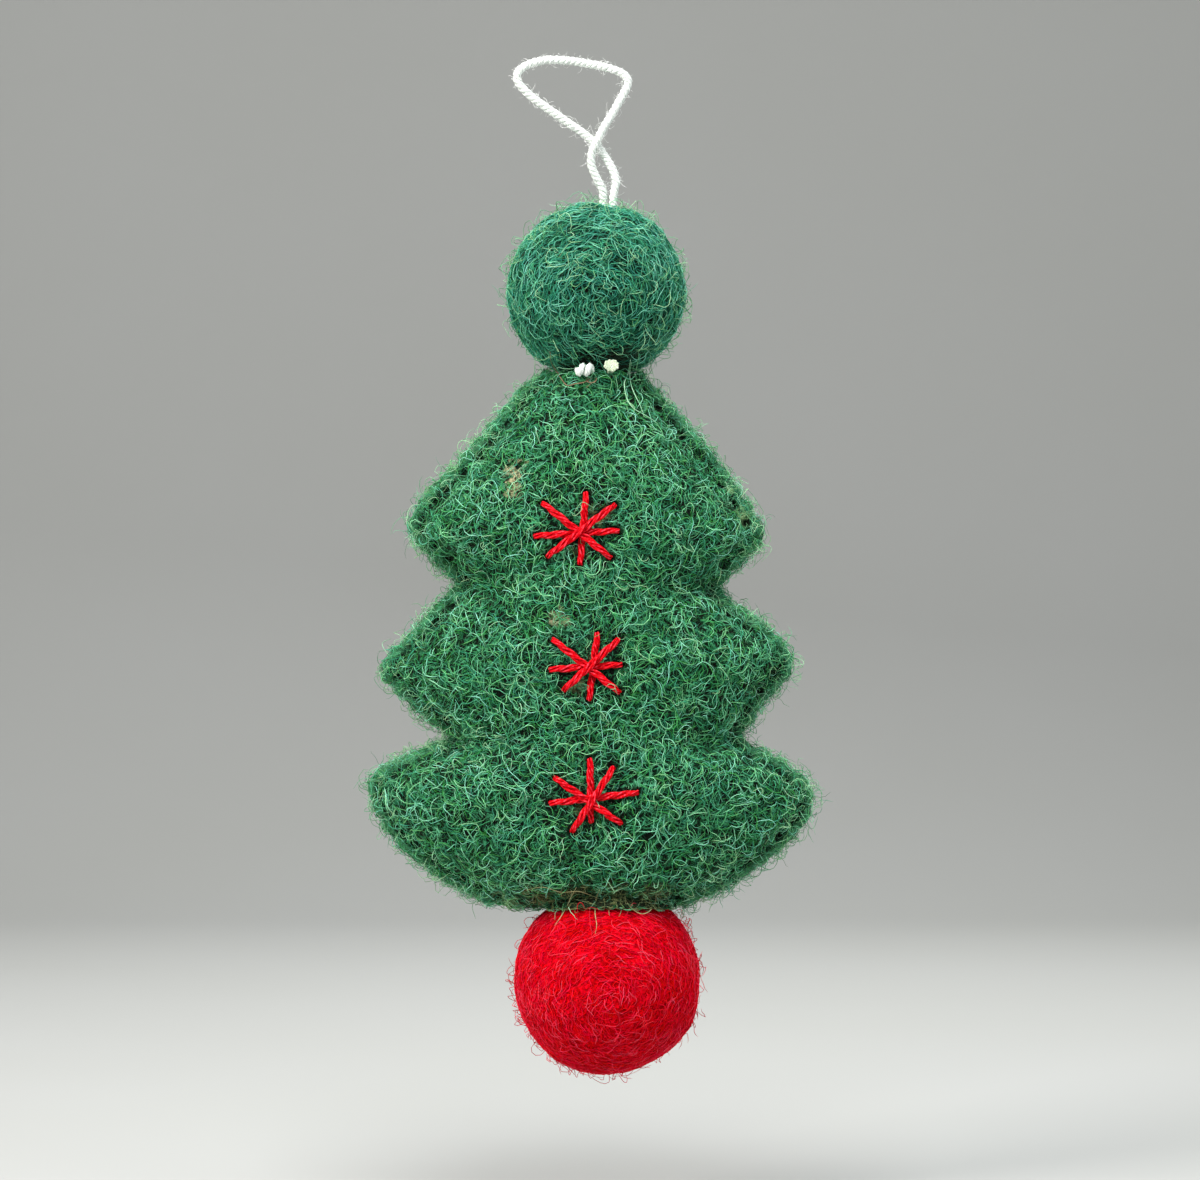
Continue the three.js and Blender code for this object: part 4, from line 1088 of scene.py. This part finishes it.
def awayFromLine(x, z, start, end):
    (x0, z0), (x1, z1) = start, end
    run = ((x - x0) * (x1 - x0) + (z - z0) * (z1 - z0)) / ((x1 - x0) ** 2 + (z1 - z0) ** 2)
    run = np.clip(run, 0, 1)
    return np.hypot(x - x0 - run * (x1 - x0), z - z0 - run * (z1 - z0)), run


# The rim: places all round, their distance down each edge, the way out and the stitches
def makeRim():
    rng = np.random.default_rng(7)
    rim = {}
    for word, edge, sign in (("left", leftEdge, -1), ("right", rightEdge, 1)):
        points = np.stack([edge, heightAt(fineShares)], 1)
        run = np.gradient(points, axis=0)
        run /= np.linalg.norm(run, axis=1)[:, None]
        out = np.stack([-run[:, 1], run[:, 0]], 1) * sign
        down = np.concatenate([[0], np.cumsum(np.linalg.norm(np.diff(points, axis=0), axis=1))])
        stitches = [panel["firstStitch"]]
        while stitches[-1] < down[-1] - panel["lastStitch"]:
            spread = 1 + panel["pitchSpread"] * rng.uniform(-1, 1)
            stitches.append(stitches[-1] + panel["stitchPitch"] * spread)
        rim[word] = dict(points=points, out=out, run=run, down=down, stitches=np.array(stitches))
    return rim


rim = makeRim()
noStitch = 99.0  # how far a stitch is where the rim has none


# For each point: how far the rim is, the way out there, the scallop and the nearest stitch
def rimEffects(x, z):
    search = kdtree.KDTree(2 * len(fineShares) + 2 * rowMarks)
    info = []
    for number, edge in enumerate(rim.values()):
        for point, out, down in zip(edge["points"], edge["out"], edge["down"]):
            search.insert((point[0], point[1], 0), len(info))
            info.append((out[0], out[1], down, number))
    for end, way in ((0, 1), (-1, -1)):
        for px in np.linspace(leftEdge[end], rightEdge[end], rowMarks):
            search.insert((px, heightAt(fineShares[end]), 0), len(info))
            info.append((0, way, -1, len(rim)))
    search.balance()
    found = [search.find((a, b, 0)) for a, b in zip(x.ravel(), z.ravel())]
    away = np.array([distance for _, _, distance in found]).reshape(x.shape)
    near = np.array(info)[[index for _, index, _ in found]].reshape(*x.shape, 4)
    bulge = np.zeros(x.shape)
    stitchAway = np.full(x.shape, noStitch)
    for number, edge in enumerate(rim.values()):
        stitches = edge["stitches"]
        mine = near[..., 3] == number
        down = near[..., 2]
        after = np.clip(np.searchsorted(stitches, down), 1, len(stitches) - 1)
        start, end = stitches[after - 1], stitches[after]
        phase = np.clip((down - start) / (end - start), 0, 1)
        scallop = np.sin(math.pi * phase) ** panel["scallopPower"] - panel["scallopMean"]
        bulge = np.where(mine, scallop, bulge)
        gap = np.minimum(np.abs(down - start), np.abs(down - end))
        stitchAway = np.where(mine, gap, stitchAway)
    return away, near[..., 0], near[..., 1], bulge, stitchAway


def panelGrid(rows, columns):
    even = np.linspace(-1, 1, columns + 1)
    across = panel["evenShare"] * even + (1 - panel["evenShare"]) * np.sin(even * math.pi / 2)
    share = np.linspace(0, 1, rows + 1)[:, None] * np.ones(columns + 1)[None, :]
    left, right = edgesAt(share)
    return left + (right - left) * (across[None, :] + 1) / 2, share


# Two grids of points, the second behind the first, closed all round into one shell
def makeShell(name, first, second, flip=False):
    rows, columns, _ = first.shape
    count = rows * columns
    grid = np.arange(count).reshape(rows, columns)
    quads = [grid[:-1, :-1], grid[:-1, 1:], grid[1:, 1:], grid[1:, :-1]]
    quads = np.stack(quads, -1).reshape(-1, 4)
    turned = quads[:, ::-1]
    faces = [*(quads if flip else turned).tolist(), *((turned if flip else quads) + count).tolist()]
    loop = np.concatenate([grid[0, :-1], grid[:-1, -1], grid[-1, :0:-1], grid[:0:-1, 0]])
    for a, b in zip(loop, np.roll(loop, -1)):
        face = (a, b, b + count, a + count)
        faces.append(face[::-1] if flip else face)
    return meshFrom(name, np.concatenate([first.reshape(-1, 3), second.reshape(-1, 3)]), faces)


def clearOfUpperBall(points, gap):
    away = points - np.array(topBall["centre"], float)
    far = np.linalg.norm(away, axis=-1, keepdims=True)
    least = ball["radius"] + gap
    return np.where(far < least, points + away * (least / np.maximum(far, 1e-6) - 1), points)


# The felt's lower edge hangs a little over the ball, before or behind it
def layOverLowerBall(points, sign, gap):
    away = points - np.array(bottomBall["centre"], float)
    skin = np.sqrt(np.maximum((bottomBall["seat"] + gap) ** 2
                              - away[..., 0] ** 2 - away[..., 2] ** 2, 0))
    depth = np.maximum(sign * points[..., 1], skin)
    return np.stack([points[..., 0], sign * depth, points[..., 2]], -1)


# One felt panel as a closed shell: its outer face, and an inner face one sheet inside it
def makePanel(name, sign, shift):
    x, share = panelGrid(panel["rows"], panel["columns"])
    z = heightAt(share)
    isFront = sign < 0
    stitches = starStitches() if isFront else []
    away, outX, outZ, bulge, stitchAway = rimEffects(x, z)
    near = np.exp(-(away / panel["scallopReach"]) ** 2)
    x = x + outX * bulge * panel["scallop"] * near
    z = z + outZ * bulge * panel["scallop"] * near
    flap = panel["flap"]
    fromBall = x - bottomBall["centre"][0]
    z = z + (flap["rise"] * smoothStep(share, flap["start"], 1)
             * np.exp(-(fromBall / flap["halfWidth"]) ** 4))
    rounded = np.sqrt(1 - (1 - np.clip(away / panel["edgeRound"], 0, 1)) ** 2)
    depth = bodyDepth(x, share, edge=tree["edgeHalf"] * rounded)
    bite = np.exp(-((away - panel["puckerPlace"]) / panel["puckerLength"]) ** 2)
    depth -= panel["pucker"] * bite * np.exp(-(stitchAway / panel["puckerWidth"]) ** 2)
    depth -= panel["valley"] * np.exp(-((away - panel["valleyPlace"]) / panel["valleyWidth"]) ** 2)
    for start, end, deep, wide in panel["creases"]:
        far, run = awayFromLine(x, z, start, end)
        depth -= deep * np.exp(-(far / wide) ** 2) * (1 - run) ** panel["creaseFade"]
    calm = starNearness(x, z, panel["starCalm"]) if isFront else 0
    pits = np.zeros(x.shape)
    if isFront:
        lip = panel["lip"]
        drawn = lip["depth"] * smoothStep(-z, lip["high"], lip["low"])
        drawn = drawn * np.exp(-(x / lip["halfWidth"]) ** 4) * (z > lip["bottom"])
        depth = np.maximum(depth, drawn)
        depth -= dimples(x, z)
        for _, _, _, ends in stitches:
            for px, pz in ends:
                toHole = np.hypot(x - px, z - pz)
                pits = np.maximum(pits, np.exp(-(toHole / panel["pitWidth"]) ** 2))
        depth -= panel["pit"] * pits
    depth = np.maximum(depth, panel["seamHalfGap"] + panel["leastGap"])
    outer = np.stack([x, sign * depth, z], -1)
    normal = np.cross(np.gradient(outer, axis=0), np.gradient(outer, axis=1))
    normal /= np.maximum(np.linalg.norm(normal, axis=-1, keepdims=True), 1e-9)
    normal *= np.where(normal[..., 1:2] * sign < 0, -1, 1)
    height = np.array([lumpHeight(Vector(p), panel["lumps"], shift) for p in outer.reshape(-1, 3)])
    height = (height.reshape(x.shape) * smoothStep(away, panel["lumpsFrom"], panel["lumpsTo"])
              * (1 - panel["starFlatness"] * np.minimum(calm, 1)))
    outer = outer + normal * height[..., None]
    halfGap = panel["seamHalfGap"]
    outer[..., 1] = sign * np.maximum(sign * outer[..., 1], halfGap)
    inner = outer.copy()
    inner[..., 1] = sign * np.maximum(sign * outer[..., 1] - panel["sheet"], halfGap / 2)
    outer = layOverLowerBall(clearOfUpperBall(outer, panel["seatGap"]), sign, flap["thickness"])
    inner = layOverLowerBall(clearOfUpperBall(inner, panel["seatUnder"]), sign, panel["seatGap"])
    made = makeShell(name, outer, inner, flip=not isFront)

    # where the wool grows, lies pressed, gets painted shade or a pale rim that is partly a painted
    # highlight, and where the fringe stands
    pressed = np.zeros(x.shape)
    lines = [(*ends, panel["underFloss"]) for _, _, _, ends in stitches]
    if isFront:
        lines.append(panel["underCord"])
    for start, end, wide in lines:
        far, _ = awayFromLine(x, z, start, end)
        pressed = np.maximum(pressed, 1 - smoothStep(far, wide, wide + panel["pressFade"]))
    ballAway = np.minimum(
        *[np.linalg.norm(outer - np.array(centre, float), axis=-1) - radius for centre, radius in
          ((topBall["centre"], ball["radius"]), (bottomBall["centre"], bottomBall["seat"]))])
    isSewn = stitchAway < noStitch
    isClear = ballAway > panel["bareNearBall"]
    # the stitch holes, painted dark as shade
    notch = (np.exp(-((away - panel["puckerPlace"]) / panel["notchLength"]) ** 2)
             * np.exp(-(stitchAway / panel["notchWidth"]) ** 2))
    hole = np.clip(np.maximum(pits * panel["holeGain"], notch) - panel["holeEdge"], 0, 1)
    # painted shade where the lower edge turns under, above the red ball
    shadeUnderEdge = (flap["dark"] * smoothStep(-z, flap["high"], flap["low"])
            * np.exp(-(fromBall / flap["darkHalfWidth"]) ** 4))
    # the rim band, palest on the scallops: partly smoother felt, partly a painted highlight
    band = 1 - smoothStep(away, panel["bandFrom"] * panel["bandWidth"],
                          panel["bandTo"] * panel["bandWidth"])
    band *= isSewn * (0.45 + 0.55 * np.clip(bulge + 0.5, 0, 1))
    pressed = np.maximum(pressed, panel["holePress"] * hole)
    marks = dict(fringe=(away < panel["fringeWidth"]) * isSewn * isClear,
                 hollow=np.maximum(hole, shadeUnderEdge), rimBandAndGlow=panel["bandShare"] * band,
                 coat=(1 - pressed) * isClear * (1 - 0.15 * band), pressed=pressed)
    inside = np.zeros(x.size)
    storeValues(made, **{label: np.concatenate([values.ravel(), inside])
                         for label, values in marks.items()})
    return made


def addPanels():
    for word, sign, seed in (("front", -1, 41), ("back", 1, 51)):
        made = makePanel(f"{word}_felt", sign, seed * 3.1)
        for number, (layer, wool) in enumerate((("mat", "treeWool"), ("curls", "treeCurl"),
                                                ("stray", "strayWool"), ("fringe", "strayWool"))):
            perSquare = panel["shares"][word] * panel[layer]["perSquare"]
            growWool(made, f"{word}_felt_{layer}", dict(panel[layer], perSquare=perSquare),
                     finishes[wool], seed + number, "tree",
                     "fringe" if layer == "fringe" else "coat")
        finishPiece(made, "tree", f"{word}_panel", finishes["treeFelt"])


# Hairs laid on a ball's skin or the panel's, whichever is further out
def addLongHairs():
    for name, finish, radius, lift, marks in longHairs:
        points = []
        for x, z in marks:
            share = (tree["top"] - z) / tree["height"]
            skins = [float(bodyDepth(x, share)) if 0 < share < 1 else 0.0]
            for settings in (topBall, bottomBall):
                cx, _, cz = settings["centre"]
                left = (settings["radius"] + lift) ** 2 - (x - cx) ** 2 - (z - cz) ** 2
                skins.append(math.sqrt(max(left, 0)) - lift)
            points.append((x, -max(skins) - lift, z))
        hair = spinYarn(name, smoothCurve(points, 0.25), dict(
            plies=1, plyRadius=radius, halfWidth=0, halfThickness=0, pitch=3.0, sides=5,
            taper=0.5), finishes[finish])
        finishPiece(hair, "tree")


addPanels()
addLongHairs()
print("ornament: stuffed panels made")


# The filling inside the panels

filling = dict(rows=60, columns=40, top=0.1, bottom=0.9, inset=3.9, clearance=0.5, lumps=0.25,
               lumpSize=3.0, endLength=3.0)


def addFilling():
    share = panelGrid(filling["rows"], filling["columns"])[1]
    share = filling["top"] + (filling["bottom"] - filling["top"]) * share
    left, right = edgesAt(share)
    for step in np.linspace(-1, 1, 9):
        movedLeft, movedRight = edgesAt(share + step * filling["inset"] / tree["height"])
        keep = filling["inset"] * math.sqrt(1 - step ** 2)
        left = np.maximum(left, movedLeft + keep)
        right = np.minimum(right, movedRight - keep)
    across = np.sin(np.linspace(-1, 1, filling["columns"] + 1) * math.pi / 2)[None, :]
    x = left + (right - left) * (across + 1) / 2
    z = heightAt(share)
    inside = bodyDepth(x, share) - dimples(x, z) - panel["sheet"] - filling["clearance"]
    ends = np.minimum(share - filling["top"], filling["bottom"] - share) * tree["height"]
    rounded = (np.sqrt(np.clip(ends / filling["endLength"], 0.03, 1))
               * np.sqrt(np.clip(1 - across ** 8, 0, 1)))
    flat = np.stack([x, z, x * 0], -1).reshape(-1, 3)
    lumps = np.array([noise.noise(Vector(p) / filling["lumpSize"]) for p in flat])
    depth = np.maximum((inside - filling["lumps"] * (1 + lumps.reshape(x.shape))) * rounded, 0.05)
    made = makeShell("fibre_stuffing", np.stack([x, -depth, z], -1), np.stack([x, depth, z], -1))
    finishPiece(made, "tree", "fibre_filling", finishes["filling"])


addFilling()
print("ornament: filling made")


# Thread: overcast seam, embroidered stars, and the stitch that holds the lower ball

overcast = dict(reach=1.35, inset=1.35, halfDepth=1.5, threadRadius=0.2, slant=0.4)


def addSeam():
    rng = np.random.default_rng(17)
    for word, edge in rim.items():
        places, outs, alongs = [], [], []
        for stitch in edge["stitches"][:-1]:
            at = min(int(np.searchsorted(edge["down"], stitch)), len(fineShares) - 1)
            out, run, place = [np.array([edge[key][at][0], 0, edge[key][at][1]])
                               for key in ("out", "run", "points")]
            places.append(place - out * overcast["inset"])
            outs.append(out)
            alongs.append(run + np.array([0, 1, 0]) * overcast["slant"] * rng.uniform(0.6, 1.4))
        made = meshFrom(f"{word}_rim_points", places)
        storeValues(made, out=outs, along=alongs)
        seam = runTree(made, trees["overcast"], f"{word}_overcast_stitches",
                       dict(overcast, material=finishes["greenThread"]))
        bpy.data.objects.remove(made)
        finishPiece(seam, "tree", f"seam_thread_{word}")


def addStars():
    for name, word, layer, ends in starStitches():
        along = np.linspace(0, 1, stars["marks"] + 1)
        x = ends[0][0] + (ends[1][0] - ends[0][0]) * along
        z = ends[0][1] + (ends[1][1] - ends[0][1]) * along
        share = (tree["top"] - z) / tree["height"]
        surface = -bodyDepth(x, share) + dimples(x, z)
        flat = 1 - np.abs(2 * along - 1) ** stars["bridge"]
        y = surface - stars["lift"] * (0.35 + 0.65 * flat) - layer * stars["layer"] * flat
        points = [(x[0], surface[0] + stars["legDepth"], z[0]), *zip(x, y, z),
                  (x[-1], surface[-1] + stars["legDepth"], z[-1])]
        side = np.array([z[0] - z[-1], 0, x[-1] - x[0]])
        side /= np.linalg.norm(side)
        stitch = spinYarn(f"{name}_{word}_floss", smoothCurve(points, 0.3), stars["floss"],
                          finishes["floss"], side)
        finishPiece(stitch, "tree", f"{name}_{word}_stitch")


base = dict(x=1.5, spacing=2.4, high=-101.1, middle=-117, low=-132.95, marks=6,
            yarn=dict(plies=2, plyRadius=0.17, halfWidth=0.13, halfThickness=0.13, pitch=1.6,
                      sides=6))


def addBaseThread():
    half = base["spacing"] / 2
    left, right = base["x"] - half, base["x"] + half
    points = [(left, 0, base["high"]), (left, 0, base["middle"])]
    for i in range(base["marks"] + 1):
        turn = math.pi * i / base["marks"]
        points.append((base["x"] - half * math.cos(turn), 0, base["low"] - half * math.sin(turn)))
    points += [(right, 0, base["middle"]), (right, 0, base["high"])]
    thread = spinYarn("ball_stitch", smoothCurve(points, 0.4), base["yarn"],
                      finishes["redThread"])
    finishPiece(thread, "tree", "base_thread")


addSeam()
addStars()
addBaseThread()
print("ornament: stitches made")


# Floor, backdrop and light

stage = dict(floor=-155, front=-1400, bend=420, radius=260, top=900, halfWidth=1500, steps=24,
             paper=("#bcbeba", "#c0c2c0"))
lights = [
    # name, place, size, power, colour; each points at the middle of the ornament
    ("left soft box", (-440, -340, 240), 260, 3.75, "#fffaf6"),
    ("right soft box", (480, -260, 130), 300, 1.15, "#f6f9ff"),
    ("top soft box", (0, -230, 330), 220, 2.0, "#ffffff"),
    ("back soft box", (60, 300, 230), 260, 1.1, "#ffffff"),
]
room = dict(middle=(0, 0, -70), colour="#eef1f4", strength=0.19)


def addStage():
    profile = [(stage["front"], stage["floor"])]
    for i in range(stage["steps"] + 1):
        turn = math.pi / 2 * i / stage["steps"]
        profile.append((stage["bend"] + stage["radius"] * math.sin(turn),
                        stage["floor"] + stage["radius"] * (1 - math.cos(turn))))
    profile.append((stage["bend"] + stage["radius"], stage["top"]))
    points = [(x, y, z) for y, z in profile for x in (-stage["halfWidth"], stage["halfWidth"])]
    faces = [(2 * i, 2 * i + 1, 2 * i + 3, 2 * i + 2) for i in range(len(profile) - 1)]
    sweep = meshFrom("studio_sweep", points, faces)
    made, nodes, shader, known = newMaterial("pale studio paper", 0.95, 0.1)
    plain, tooth = [linear(colour) for colour in stage["paper"]]
    addSteps(nodes, known, [("grain", "noise", "place", perMetre["paper"], 2),
                            ("colour", "mixColours", "grain", plain, tooth)])
    sweep.data.materials.append(finishMaterial(made, nodes, shader, known))


def addLights():
    for name, place, size, power, colour in lights:
        data = bpy.data.lights.new(name, "AREA")
        data.size = size * metre
        data.energy = power
        data.color = linear(colour)[:3]
        lamp = newObject(name, data)
        lamp.location = [c * metre for c in place]
        toMiddle = Vector(room["middle"]) - Vector(place)
        lamp.rotation_euler = toMiddle.to_track_quat("-Z", "Y").to_euler()
    world = bpy.data.worlds.new("soft room light")
    world.use_nodes = True
    setInputs(world.node_tree, world.node_tree.nodes["Background"],
              {"Color": linear(room["colour"]), "Strength": room["strength"]})
    bpy.context.scene.world = world


addStage()
addLights()
bpy.context.scene.view_settings.view_transform = "Standard"
print("ornament: stage and lights set")
